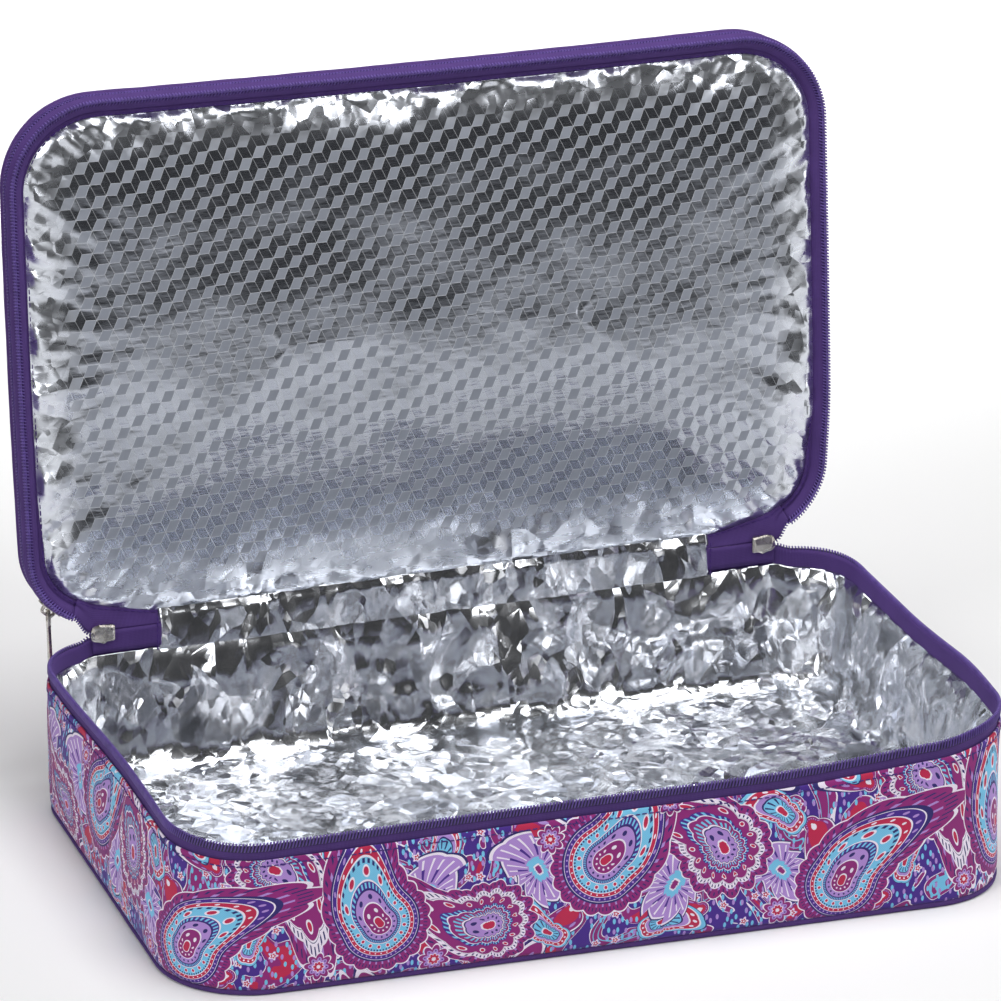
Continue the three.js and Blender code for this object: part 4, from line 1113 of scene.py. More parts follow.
def makeWallCloth():
    heights = np.concatenate([
        [wall["bottom"], 0.0045, 0.0068],
        np.linspace(0.0095, wall["top"] - 0.0008, wall["rows"]),
        [wall["top"]],
    ])
    t = (heights - wall["bottom"]) / (wall["top"] - wall["bottom"])
    inset = wall["tuck"] * np.exp(-((heights - wall["bottom"]) / wall["tuckHeight"]))
    inset[-1] += wall["hemTuck"]
    rows = sweepRows(tubLoop, np.stack([inset, heights], 1))
    out = flatWay(-tubLoop[1])
    # the padding pushes the cloth out between the base and the hem
    simHeights = np.linspace(wall["bottom"], wall["top"], wall["simRows"])
    loose = sweepRows(tubLoop, np.stack([np.zeros(wall["simRows"]), simHeights], 1))[::2]
    held = np.zeros(loose.shape[:2], bool)
    held[:, [0, -1]] = True
    bulge = swollen("wallSwell", loose, np.broadcast_to(out[::2][:, None], loose.shape), held)
    bulge *= wall["bulge"] / np.percentile(bulge, 96)
    bulge = np.minimum(bulge, wall["bulge"] * 1.25)
    bulge = refined(bulge, 2, len(rows), np.linspace(0, 1, wall["simRows"]), t)
    # the right wall hangs nearly straight
    bulge *= 1 - wall["rightEase"] * smooth(out[:, :1], 0.5, 1.0)
    rows += out[:, None] * bulge[:, :, None]
    for i in range(rows.shape[0]):
        for j in range(rows.shape[1]):
            p = rows[i, j]
            share = min(max(t[j], 0.0), 1.0)
            fade = math.sin(math.pi * share) ** 0.6
            gather = smooth(t[j], 0.6, 0.95) * (1 - smooth(t[j], 0.985, 1.0))
            lift = wall["wrinkle"] * (1.1 * wobble(p, 0.055, 3.1) + 0.5 * wobble(p, 0.021, 8.2)) * fade
            lift += wall["gather"] * gather * wobble((p[0], p[1], p[2] * 0.25), 0.011, 5.0)
            rows[i, j] += out[i] * lift
    piece = skin("wallCloth", onTub(rows), printCloth, along=True, uv=(loopUs(tubLoop), heights))
    return faceOut(thicken(faceOut(piece), wall["cloth"])), rows, heights


wallCloth, wallRows, wallHeights = makeWallCloth()
hemColumn = int(np.argmin(np.abs(wallHeights - wall["stitchAt"])))
hemPath = onTub(wallRows[:, hemColumn] - flatWay(tubLoop[1]) * wall["stitchOut"])
hemUp = flatWay(-tubLoop[1]) * np.array([1, -1, 1])
wallStitch = stitched("wallStitch", [spaced(hemPath, hemUp, stitches["pitch"])])


def tubeAlong(name, line, inset, height, radius, material, mapping, sides=10, closed=True, swell=0.0):
    a = np.linspace(0, 2 * math.pi, sides, endpoint=False)
    section = np.stack([inset + radius * np.cos(a), height + radius * np.sin(a)], 1)
    rows = sweepRows(line, section)
    if swell:
        middle = rows.mean(1, keepdims=True)
        for i in range(len(rows)):
            rows[i] = middle[i] + (rows[i] - middle[i]) * (1 + swell * wobble(middle[i, 0], 0.012, 2.0))
    uv = (loopUs(line), np.append(a, 2 * math.pi) * radius)
    return faceOut(skin(name, mapping(rows), material, around=True, along=closed, caps=not closed, uv=uv))


piping = {"radius": 0.0014, "inset": 0.0018, "height": 0.0015, "swell": 0.09}
basePiping = tubeAlong(
    "basePiping", tubLoop, piping["inset"], piping["height"], piping["radius"], violetPiping, onTub,
    swell=piping["swell"],
)


# rings from the rim line in to a middle line, for panels
def panelRows(line, inset, rings, halfMiddle, power=1.6):
    place, inward, _ = line
    edge = place + inward * np.broadcast_to(np.asarray(inset, float), (len(place),))[:, None]
    apart = 0.0025
    shared = np.round(np.clip(edge[:, 0], -halfMiddle, halfMiddle) / apart) * apart
    middle = np.stack([shared, np.full(len(edge), bag["depth"] / 2)], 1)
    share = np.linspace(0, 1, rings) ** power
    return edge[:, None, :] * (1 - share)[None, :, None] + middle[:, None, :] * share[None, :, None]


# how far a point lies in from the rim
def rimDepth(x, v):
    w, d = bag["width"] / 2, bag["depth"]
    rf, rh = bag["frontRadius"], bag["hingeRadius"]
    across = abs(x)
    if v > d - rf and across > w - rf:
        return rf - math.hypot(across - (w - rf), v - (d - rf))
    if v < rh and across > w - rh:
        return rh - math.hypot(across - (w - rh), rh - v)
    return min(w - across, v, d - v)


# a panel's points at one depth, or each at its own
def atDepth(flat, depth):
    return np.concatenate([flat, np.broadcast_to(depth, flat.shape[:2])[:, :, None]], 2)


# a panel of two skins with the same outline, closed at the edge
def panelPad(name, flat, front, back, material, mapping):
    rows = np.concatenate([atDepth(flat, front)[:, ::-1], atDepth(flat, back)], 1)
    piece = skin(name, mapping(rows), material, along=True)
    layer = piece.data.uv_layers.new(name="cloth")
    loops = np.zeros(len(piece.data.loops), int)
    piece.data.loops.foreach_get("vertex_index", loops)
    layer.data.foreach_set("uv", rows[:, :, :2].reshape(-1, 2)[loops].ravel())
    return faceOut(piece)


base = {"inset": 0.0024, "top": 0.0011, "bottom": 0.0003, "rings": 14, "middle": 0.08}
baseFlat = panelRows(tubLoop, base["inset"], base["rings"], base["middle"])
baseCloth = panelPad("baseCloth", baseFlat, base["top"], base["bottom"], printCloth, onTub)

# foil liner of the tub: wall, a soft turn at the floor, and the floor
foilTub = {
    "top": 0.0668, "floor": 0.0094, "turn": 0.011, "crumple": 0.0046, "floorCrumple": 0.3,
    "thickness": 0.0005, "wallRows": 26, "turnRows": 5, "floorRings": 40, "middle": 0.09,
}


def foldWave(value):
    return 2.0 * abs(value - math.floor(value + 0.5))


# way across the crease in x, y and z, and creases per metre
creaseWays = [
    (0.92, 0.1, 0.38, 31.0), (0.35, -0.8, 0.5, 27.0), (-0.6, 0.45, 0.66, 43.0), (0.2, 0.75, -0.63, 58.0),
    (0.75, -0.55, -0.36, 83.0),
]


# sharp creases: folded waves in several directions, each shifted by a slow wobble
def creased(p):
    total = 0.0
    for k, (a, b, c, rate) in enumerate(creaseWays):
        shift = 1.4 * wobble(p, 0.06, 3.0 + 2.1 * k) + 0.37 * k + 0.2
        total += (foldWave((a * p[0] + b * p[1] + c * p[2]) * rate + shift) - 0.5) * 30.0 / rate
    return total / 3.0


def makeTubFoil():
    count = foilTub["wallRows"]
    wallLow = np.linspace(0.0625, foilTub["floor"] + foilTub["turn"], count)
    wallZ = np.concatenate([[foilTub["top"], 0.0660, 0.0648], wallLow])
    wallIn = np.concatenate([[0.0024, 0.0029, 0.0036], 0.0048 + 0.0030 * np.linspace(0, 1, count) ** 0.6])
    a = np.linspace(0, math.pi / 2, foilTub["turnRows"] + 1)[1:]
    turnZ = foilTub["floor"] + foilTub["turn"] * (1 - np.sin(a))
    turnIn = wallIn[-1] + foilTub["turn"] * (1 - np.cos(a))
    section = np.stack([np.concatenate([wallIn, turnIn]), np.concatenate([wallZ, turnZ])], 1)
    floor = panelRows(tubLoop, section[-1, 0], foilTub["floorRings"], foilTub["middle"], 1.1)[:, 1:]
    rows = np.concatenate([sweepRows(tubLoop, section), atDepth(floor, foilTub["floor"])], 1)
    wallCount = len(section)
    for i, way in enumerate(tubLoop[1]):
        for j in range(1, rows.shape[1]):
            p = rows[i, j].copy()
            lift = foilTub["crumple"] * (creased(p) + 0.35 * wobble(p, 0.07, 2.0) + 0.22)
            if j < wallCount:
                ease = 1.0 if j < wallCount - foilTub["turnRows"] else 0.6
                rows[i, j, :2] += way * lift * (float(smooth(foilTub["top"] - p[2], 0.0, 0.014)) * ease)
            else:
                rows[i, j, 2] += max(0.0, lift * foilTub["floorCrumple"])
    uv = (loopUs(tubLoop), runLength(rows[0]))
    piece = skin("tubFoil", onTub(rows), crumpledFoil, along=True, uv=uv)
    return thicken(faceOut(piece, floorUp=True), foilTub["thickness"])


tubFoil = makeTubFoil()

# zip on the tub
tape = {"thickness": 0.0008, "inset": 0.0013, "bottom": 0.0650, "top": 0.0752, "pitch": 0.0016}


def stripSection(inset, thickness, low, high, rows=6, bow=0.0):
    z = np.linspace(low, high, rows)
    lean = bow * np.sin(np.linspace(0, math.pi, rows))
    outer = np.stack([inset - lean, z], 1)
    inner = np.stack([inset - lean + thickness, z], 1)[::-1]
    return np.concatenate([outer, inner])


def stripAlong(name, line, section, material, mapping, closed=False):
    rows = mapping(sweepRows(line, section))
    uv = (loopUs(line), runLength(np.vstack([section, section[:1]])))
    return faceOut(skin(name, rows, material, around=True, along=closed, caps=not closed, uv=uv))


def linePoints(line, inset, height, mapping):
    return mapping(sweepRows(line, [[inset, height]]))[:, 0]


def lineUps(line, section, mapping):
    ends = mapping(sweepRows(line, section))
    return ends[:, 1] - ends[:, 0]


# the stretch of rim from where the zip is stitched off to just past a slider, either side
straightCount = 19


def endLine(side, past=9.0):
    xs = np.linspace(bag["zipEnd"] - 0.0006, cornerX, straightCount)
    angles = np.radians(np.linspace(0, past, 6)[1:])
    r = bag["hingeRadius"]
    place = [(x, 0.0) for x in xs] + [(cornerX + r * math.sin(a), r - r * math.cos(a)) for a in angles]
    inward = [(0.0, 1.0)] * len(xs) + [(-math.sin(a), math.cos(a)) for a in angles]
    place, inward = np.array(place), np.array(inward)
    place[:, 0] *= side
    inward[:, 0] *= side
    return place, inward, runLength(place)


zipEnd = {
    "inset": 0.0025, "thickness": 0.0006, "bottom": 0.0676, "split": 0.0788, "bow": 0.0012,
    "looseRows": 12, "columns": 10, "teethInset": 0.0017, "teethHeight": 0.0783,
    "endStitches": (0.0664, 0.0862), "endPitch": 0.0031,
}
section = stripSection(tape["inset"], tape["thickness"], tape["bottom"], tape["top"])
tapeParts = [stripAlong("tubTapeRun", tubZip, section, zipTape, onTub)]
section = stripSection(zipEnd["inset"], zipEnd["thickness"], zipEnd["bottom"], zipEnd["split"])
for side in (-1, 1):
    tapeParts.append(stripAlong("tubTapeEnd", endLine(side), section, zipTape, onTub))
tubTape = joined("tubZipTape", tapeParts)

# the coil's cord is painted near black, standing in for the shade in the gaps between the teeth
tubCoil = {"inset": 0.0012, "height": 0.0758, "cordShade": (0.0010, 0.0006, 0.0727, 0.0759)}
tubToothPath = linePoints(fineZip, tubCoil["inset"], tubCoil["height"], onTub)
upright = [[tubCoil["inset"], tubCoil["height"] + shift] for shift in (-0.0005, 0.0005)]
tubToothUp = lineUps(fineZip, upright, onTub)
tubTeeth = joined("tubZipCoil", [
    repeated("tubZipTeeth", toothShape, [spaced(tubToothPath, tubToothUp, tape["pitch"])], zipNylon),
    stripAlong("tubZipCord", tubZip, stripSection(*tubCoil["cordShade"]), zipCord, onTub),
])
print("tub ready")

# lid

lidLoop = rimLine(90, 90, 0.0026, loop=True)
lidRun = rimLine(bag["lidZipTurn"], bag["lidZipTurn"], rimStep)
fineLid = rimLine(bag["lidZipTurn"], bag["lidZipTurn"], fineStep)
# across the lid's tape, from the foil's seam out to the teeth: a narrow band, a sewn groove, a wider band
lidTape = {
    "across": [
        (0.0097, -0.0006), (0.0088, 0.0006), (0.0076, 0.0017), (0.0070, 0.0012), (0.0065, 0.0013),
        (0.0060, 0.0026), (0.0046, 0.0038), (0.0030, 0.0046), (0.0014, 0.0050),
    ],
    "thickness": 0.0008,
}


def tapeSection(across, thickness):
    line = np.array(across, float)
    ahead = np.gradient(line, axis=0)
    side = np.stack([-ahead[:, 1], ahead[:, 0]], 1)
    side /= np.linalg.norm(side, axis=1, keepdims=True)
    return np.concatenate([line, (line + side * thickness)[::-1]])


section = tapeSection(lidTape["across"], lidTape["thickness"])
lidZipTape = stripAlong("lidZipTape", lidRun, section, zipTape, onLid)
lidToothPath = linePoints(fineLid, 0.0007, 0.0058, onLid)
lidToothUp = lineUps(fineLid, [[0.0011, 0.0054], [0.0004, 0.0060]], onLid)
lidTeeth = joined("lidZipCoil", [
    repeated("lidZipTeeth", toothShape, [spaced(lidToothPath, lidToothUp, tape["pitch"])], zipNylon),
    tubeAlong("lidZipCore", lidRun, 0.0010, 0.0055, 0.00075, zipNylon, onLid, sides=6, closed=False),
])

# foil pad of the lid; its seam comes close to the hinge between the ends of the zip
foilLid = {
    "inset": 0.0096, "hingeInset": 0.0012, "sideInset": 0.0074, "sideLift": 0.0016, "puff": 0.0062,
    "bow": 0.0050, "gather": 0.0033, "seamWidth": 0.014, "rings": 60, "power": 1.7, "back": -0.0046,
    "dent": 0.0011,
}


def foilInset(line):
    place, inward, _ = line
    turn = np.arctan2(np.abs(inward[:, 0]), inward[:, 1])
    alongHinge = (inward[:, 1] > 0.0) & (place[:, 1] < bag["hingeRadius"])
    across = np.abs(place[:, 0])
    reach = np.where(across <= cornerX, across, cornerX + turn * bag["hingeRadius"])
    wide = foilLid["inset"] + (foilLid["sideInset"] - foilLid["inset"]) * sideShare(line)
    return np.where(alongHinge, hingeInset(reach), wide)


# along the hinge, by the distance from its middle: narrow up to the zip's end, full where the zip starts
def hingeInset(reach):
    zipStart = cornerX + math.radians(90 - bag["lidZipTurn"]) * bag["hingeRadius"]
    share = smooth(reach, bag["zipEnd"] - 0.004, zipStart)
    return foilLid["hingeInset"] + (foilLid["inset"] - foilLid["hingeInset"]) * share


# 1 along the two short sides of the rim, fading round the corners
def sideShare(line):
    place, inward, _ = line
    nearHinge = smooth(place[:, 1], bag["hingeRadius"], bag["hingeRadius"] + 0.03)
    return smooth(np.abs(inward[:, 0]), 0.3, 1.0) * nearHinge


lidMiddle = 0.075


# how a panel of the lid swells between its seams: 0 where it is held, 1 where it stands out most
def panelSwell(name, inset, side, rings, power, sewn=()):
    line = tuple(part[::2] for part in lidLoop)
    inset = np.broadcast_to(np.asarray(inset, float), (len(lidLoop[0]),))[::2]
    marks = np.linspace(0, 1, 28)
    flat = panelRows(line, inset, len(marks), lidMiddle, 1.0)
    x, v = flat[:, :, 0], flat[:, :, 1]
    rows = atDepth(flat, 0.0)
    held = np.zeros(flat.shape[:2], bool)
    held[:, 0] = True
    for x0, x1, v0, v1 in sewn:
        held |= (x > x0) & (x < x1) & (v > v0) & (v < v1)
    out = np.broadcast_to(np.array([0.0, 0.0, side]), rows.shape)
    lift = swollen(name, rows, out, held)
    lift = np.minimum(lift / np.percentile(lift, 97), 1.08)
    return refined(lift, 2, len(lidLoop[0]), marks, np.linspace(0, 1, rings) ** power)


def makeLidFoil():
    insets = foilInset(lidLoop)
    lifts = foilLid["sideLift"] * sideShare(lidLoop)
    bows = foilLid["bow"] * panelSwell("lidSwell", insets, 1.0, foilLid["rings"], foilLid["power"])
    flat = panelRows(lidLoop, insets, foilLid["rings"], lidMiddle, foilLid["power"])
    front = np.zeros(flat.shape[:2])
    for i, run in enumerate(lidLoop[2]):
        for j in range(flat.shape[1]):
            x, v = flat[i, j]
            d = max(rimDepth(x, v) - insets[i], 0.0)
            p = (x, v, 0.0)
            nearSeam = math.exp(-d / foilLid["seamWidth"])
            puff = foilLid["puff"] * (1 - nearSeam)
            streak = wobble((run, d * 0.28, 0.0), 0.0115, 6.0)
            streak += 0.55 * wobble((run, d * 0.4, 1.0), 0.0052, 9.0)
            ridge = 1 - 2 * abs(wobble((run, d * 0.35, 2.0), 0.024, 4.0))
            fade = float(smooth(d, 0.0, 0.004) * (1 - smooth(d, 0.04, 0.1))) * nearSeam
            gather = foilLid["gather"] * fade * (streak + 0.5 * ridge)
            dent = foilLid["dent"] * (wobble(p, 0.05, 4.0) + 0.45 * wobble(p, 0.022, 7.0))
            dent *= float(smooth(d, 0.0, 0.02))
            lift = lifts[i] * (1 - float(smooth(d, 0.0, 0.03)))
            front[i, j] = puff + bows[i, j] + gather + dent + lift
    return panelPad("lidFoil", flat, front, foilLid["back"], embossedFoil, onLid)


lidFoil = makeLidFoil()
seamPath = linePoints(fineLid, 0.0084, 0.0019, onLid)
seamUp = lineUps(fineLid, [[0.0084, 0.0010], [0.0078, 0.0020]], onLid)
lidStitch = stitched("lidStitch", [spaced(seamPath, seamUp, stitches["pitch"])])

# expander: band, closed chain and outer tape
band = {
    "inner": (0.0042, -0.0034, 0.0016), "outer": (-0.0086, -0.0128, 0.0004),
    "backInner": (-0.0009, -0.0058, 0.0006), "backOuter": (-0.0062, -0.0128, 0.0006),
}
chain = {"leftTurn": 52.0, "inset": 0.0004, "inner": -0.0049, "outer": -0.0071}


# across a band, from its front to its back, by depth
def bandSection(front, back, bulge, inset=0.0005, thickness=0.0009, rows=8):
    t = np.linspace(0, 1, rows)
    depth = front + (back - front) * t
    out = inset - bulge * np.sin(math.pi * t)
    return np.concatenate([np.stack([out, depth], 1), np.stack([out + thickness, depth], 1)[::-1]])


lowerBand = stripAlong("expanderBand", lidRun, bandSection(*band["inner"]), zipTape, onLid)
upperTape = stripAlong("expanderTape", lidRun, bandSection(*band["outer"]), zipTape, onLid)
chainLine = rimLine(chain["leftTurn"], bag["lidZipTurn"], fineStep)
lowerPath = linePoints(chainLine, chain["inset"], chain["inner"], onLid)
upperPath = linePoints(chainLine, chain["inset"], chain["outer"], onLid)
chainUp = lineUps(chainLine, [[chain["inset"], -0.0040], [chain["inset"], -0.0050]], onLid)
lowerRun = spaced(lowerPath, chainUp, tape["pitch"])
upperRun = spaced(upperPath, -chainUp, tape["pitch"], tape["pitch"] / 2)
lowerTeeth = repeated("expanderTeethInner", chainShape, [lowerRun], zipNylon)
upperTeeth = repeated("expanderTeethOuter", chainShape, [upperRun], zipNylon)


# the stretch along the hinge that the zips don't reach
def backLine(turn, step):
    place, inward, _ = rimLine(90, 90, step, loop=True)
    keep = (place[:, 1] < bag["hingeRadius"]) & (inward[:, 1] > math.sin(math.radians(turn)))
    order = sorted(np.flatnonzero(keep), key=lambda i: place[i][0])
    return place[order], inward[order], runLength(place[order])


backRun = backLine(bag["lidZipTurn"], rimStep)
backLower = stripAlong("backBandInner", backRun, bandSection(*band["backInner"]), printCloth, onLid)
backUpper = stripAlong("backBandOuter", backRun, bandSection(*band["backOuter"]), printCloth, onLid)

# gusset of lining cloth folded inside the expander
gusset = {"front": -0.0012, "back": -0.0120, "inset": 0.0046, "fold": 0.0007, "thickness": 0.0005}


def makeGusset():
    t = np.linspace(0, 1, 13)
    depth = gusset["front"] + (gusset["back"] - gusset["front"]) * t
    fold = gusset["inset"] + gusset["fold"] * np.sin(t * 3 * math.pi)
    inner = np.stack([fold + gusset["thickness"], depth], 1)[::-1]
    section = np.concatenate([np.stack([fold, depth], 1), inner])
    return stripAlong("expanderGusset", lidLoop, section, liningCloth, onLid, closed=True)


gussetCloth = makeGusset()
lining = {
    "inset": 0.0062, "thickness": 0.0006, "ripple": 0.0004, "rings": 24, "backing": -0.0054, "top": -0.0090,
}
liningFlat = panelRows(lidLoop, lining["inset"], lining["rings"], lidMiddle, 1.3)


def makeLining(name, middle, seed):
    depth = np.empty(liningFlat.shape[:2])
    for i, j in np.ndindex(depth.shape):
        free = float(smooth(rimDepth(*liningFlat[i, j]) - lining["inset"], 0, 0.02))
        depth[i, j] = middle + lining["ripple"] * wobble((*liningFlat[i, j], 0.0), 0.05, seed) * free
    return panelPad(name, liningFlat, depth, depth - lining["thickness"], liningCloth, onLid)


lidBacking = makeLining("lidBacking", lining["backing"], 3.0)
topLining = makeLining("topLining", lining["top"], 8.0)

# outer panel of the lid, softly crowned, and its piping
topPanel = {
    "inset": 0.0026, "edge": -0.0143, "flat": 0.0011, "crown": 0.0042, "back": -0.0098, "rings": 34,
    "power": 1.5, "pipeInset": 0.0013, "pipeRadius": 0.0017,
    # where the handle's ends hold it down: two ranges across, one away from the hinge
    "sewnX": [(-0.107, -0.072), (0.072, 0.107)], "sewnV": (0.119, 0.147),
}


def makeTopCloth():
    flat = panelRows(lidLoop, topPanel["inset"], topPanel["rings"], lidMiddle, topPanel["power"])
    outer = np.zeros(flat.shape[:2])
    sewn = [(*ends, *topPanel["sewnV"]) for ends in topPanel["sewnX"]]
    swells = panelSwell("topSwell", topPanel["inset"], -1.0, topPanel["rings"], topPanel["power"], sewn)
    for i, j in np.ndindex(outer.shape):
        x, v = flat[i, j]
        d = max(rimDepth(x, v) - topPanel["inset"], 0.0)
        p = (x, v, 0.0)
        free = float(smooth(swells[i, j], 0.0, 0.3))
        ripple = 0.0006 * wobble(p, 0.06, 2.2) + 0.0003 * wobble(p, 0.02, 5.0)
        rise = topPanel["flat"] * float(smooth(d, 0, 0.012))
        rise += (topPanel["crown"] - topPanel["flat"]) * swells[i, j]
        outer[i, j] = topPanel["edge"] - rise - ripple * float(smooth(d, 0, 0.02)) * free
    return panelPad("topCloth", flat, topPanel["back"], outer, printCloth, onLid)


topCloth = makeTopCloth()
topPiping = tubeAlong(
    "topPiping", lidLoop, topPanel["pipeInset"], topPanel["edge"], topPanel["pipeRadius"], violetPiping,
    onLid, swell=piping["swell"],
)

# carry handle of webbing: a strap sewn flat at both ends, with its edges turned
handle = {
    "half": 0.105, "wide": 0.025, "thick": 0.0021, "rise": 0.024, "sewn": 0.032, "ramp": 0.036,
    "base": 0.0156, "middle": 0.133, "grip": 0.16, "sections": 121, "stitchIn": 0.003, "stitchHalf": 0.0098,
}


def handleRise(x):
    start = handle["half"] - handle["sewn"]
    t = np.clip((start - abs(x)) / handle["ramp"], 0, 1)
    return handle["rise"] * t * t * (3 - 2 * t)


def makeHandle():
    half, thick = handle["wide"] / 2, handle["thick"]
    across = np.array([-1, -0.92, -0.6, -0.2, 0.2, 0.6, 0.92, 1.0]) * half
    step = 0.0006
    rows = []
    for x in np.linspace(-handle["half"], handle["half"], handle["sections"]):
        slope = (handleRise(x + step) - handleRise(x - step)) / (2 * step)
        nx, nn = -slope / math.hypot(1, slope), 1 / math.hypot(1, slope)
        grip = 1 - handle["grip"] * float(smooth(handleRise(x), 0.01, 0.024))
        under = handle["base"] + handleRise(x)
        low = [(x, handle["middle"] + a * grip, -under) for a in across]
        high = []
        for a in across[::-1]:
            edge = thick * (1 - 0.35 * (abs(a) > 0.95 * half))
            high.append((x + nx * edge, handle["middle"] + a * grip, -(under + nn * edge)))
        rows.append(low + high)
    rows = np.array(rows)
    uv = (runLength(rows[:, 3]), np.concatenate([across, across[::-1], across[:1]]))
    return faceOut(skin("carryHandle", onLid(rows), webbing, around=True, caps=True, uv=uv))


carryHandle = makeHandle()


def handleStitches():
    runs = []
    top = -(handle["base"] + handle["thick"] + 0.0001)
    up = onLidPoint(0.0, handle["middle"], -0.001) - onLidPoint(0.0, handle["middle"], 0.0)
    t = np.linspace(0, 1, 12)[:, None]
    low, high = handle["middle"] - handle["stitchHalf"], handle["middle"] + handle["stitchHalf"]
    for side in (-1, 1):
        a = side * (handle["half"] - handle["stitchIn"])
        b = side * (handle["half"] - handle["sewn"] + handle["stitchIn"])
        # a box with its two diagonals
        corners = [(a, low), (b, low), (b, high), (a, high), (a, low), (b, high)], [(b, low), (a, high)]
        for path in corners:
            for start, end in zip(path[:-1], path[1:]):
                ends = np.array([(*start, top), (*end, top)])
                line = ends[0] * (1 - t) + ends[1] * t
                runs.append(spaced(onLid(line), np.tile(up, (len(t), 1)), stitches["pitch"]))
    return stitched("handleStitch", runs)


handleStitch = handleStitches()
print("lid ready")

# where tub and lid join: foil and printed strips between the zip's ends, and the tape at each end

hinge = {"crumple": 0.0021, "ripple": 0.0005}
# each strip: half its run, its thickness, its points on the tub as (y, z), and those on the lid
hingeFoilStrip = {
    "half": 0.1448, "thickness": 0.0005, "across": 170, "up": 20, "uvFrom": 0.0,
    "tub": [(0.1300, 0.0640), (0.1303, 0.0700), (0.1308, 0.0770), (0.1314, 0.0835), (0.1322, 0.0862)],
    "lid": [(0.0030, 0.0004)],
}
hingeClothStrip = {
    "half": 0.1446, "thickness": 0.0008, "across": 110, "up": 14, "uvFrom": 0.07,
    "tub": [(0.1336, 0.0672), (0.1337, 0.0740), (0.1338, 0.0800), (0.1341, 0.0842)],
    "lid": [(0.0006, -0.0012), (-0.0003, -0.0030)],
}


# how far the foil's creases push it to the front, and the cloth's ripples to the back
def foilPush(x, f, p):
    fade = math.sin(math.pi * f) ** 0.7 * float(smooth(hingeFoilStrip["half"] - abs(x), -0.001, 0.006))
    return -hinge["crumple"] * fade * max(-0.3, creased((p[0] * 1.6, p[1], p[2] * 0.9)) + 0.25)


def clothPush(x, f, p):
    return hinge["ripple"] * math.sin(math.pi * f) * wobble((x, 0.0, p[2]), 0.016, 4.0)


def hingeStrip(name, strip, push, material):
    xs = np.linspace(-strip["half"], strip["half"], strip["across"])
    fine = np.linspace(0, 1, strip["up"])
    rows = []
    for x in xs:
        path = tubShape([(x, *place) for place in strip["tub"]])
        path = np.vstack([path] + [onLidPoint(x, *place) for place in strip["lid"]])
        line = readAt(fine, np.linspace(0, 1, len(path)), path)
        for k, f in enumerate(fine):
            line[k, 1] += push(x, f, line[k])
        rows.append(line)
    rows = np.array(rows)
    piece = skin(name, rows, material, uv=(xs, strip["uvFrom"] + runLength(rows[0])))
    return faceOut(thicken(piece, strip["thickness"], 0.0))


hingeFoil = hingeStrip("hingeFoil", hingeFoilStrip, foilPush, crumpledFoil)
hingeCloth = hingeStrip("hingeCloth", hingeClothStrip, clothPush, printCloth)


# a place on a hinge-side corner of the rim, by its turn from the hinge, and the way in from there
def hingeCorner(side, turn):
    r = bag["hingeRadius"]
    place = np.array([side * (cornerX + r * math.sin(turn)), r * (1 - math.cos(turn))])
    return place, np.array([-side * math.sin(turn), math.cos(turn)])


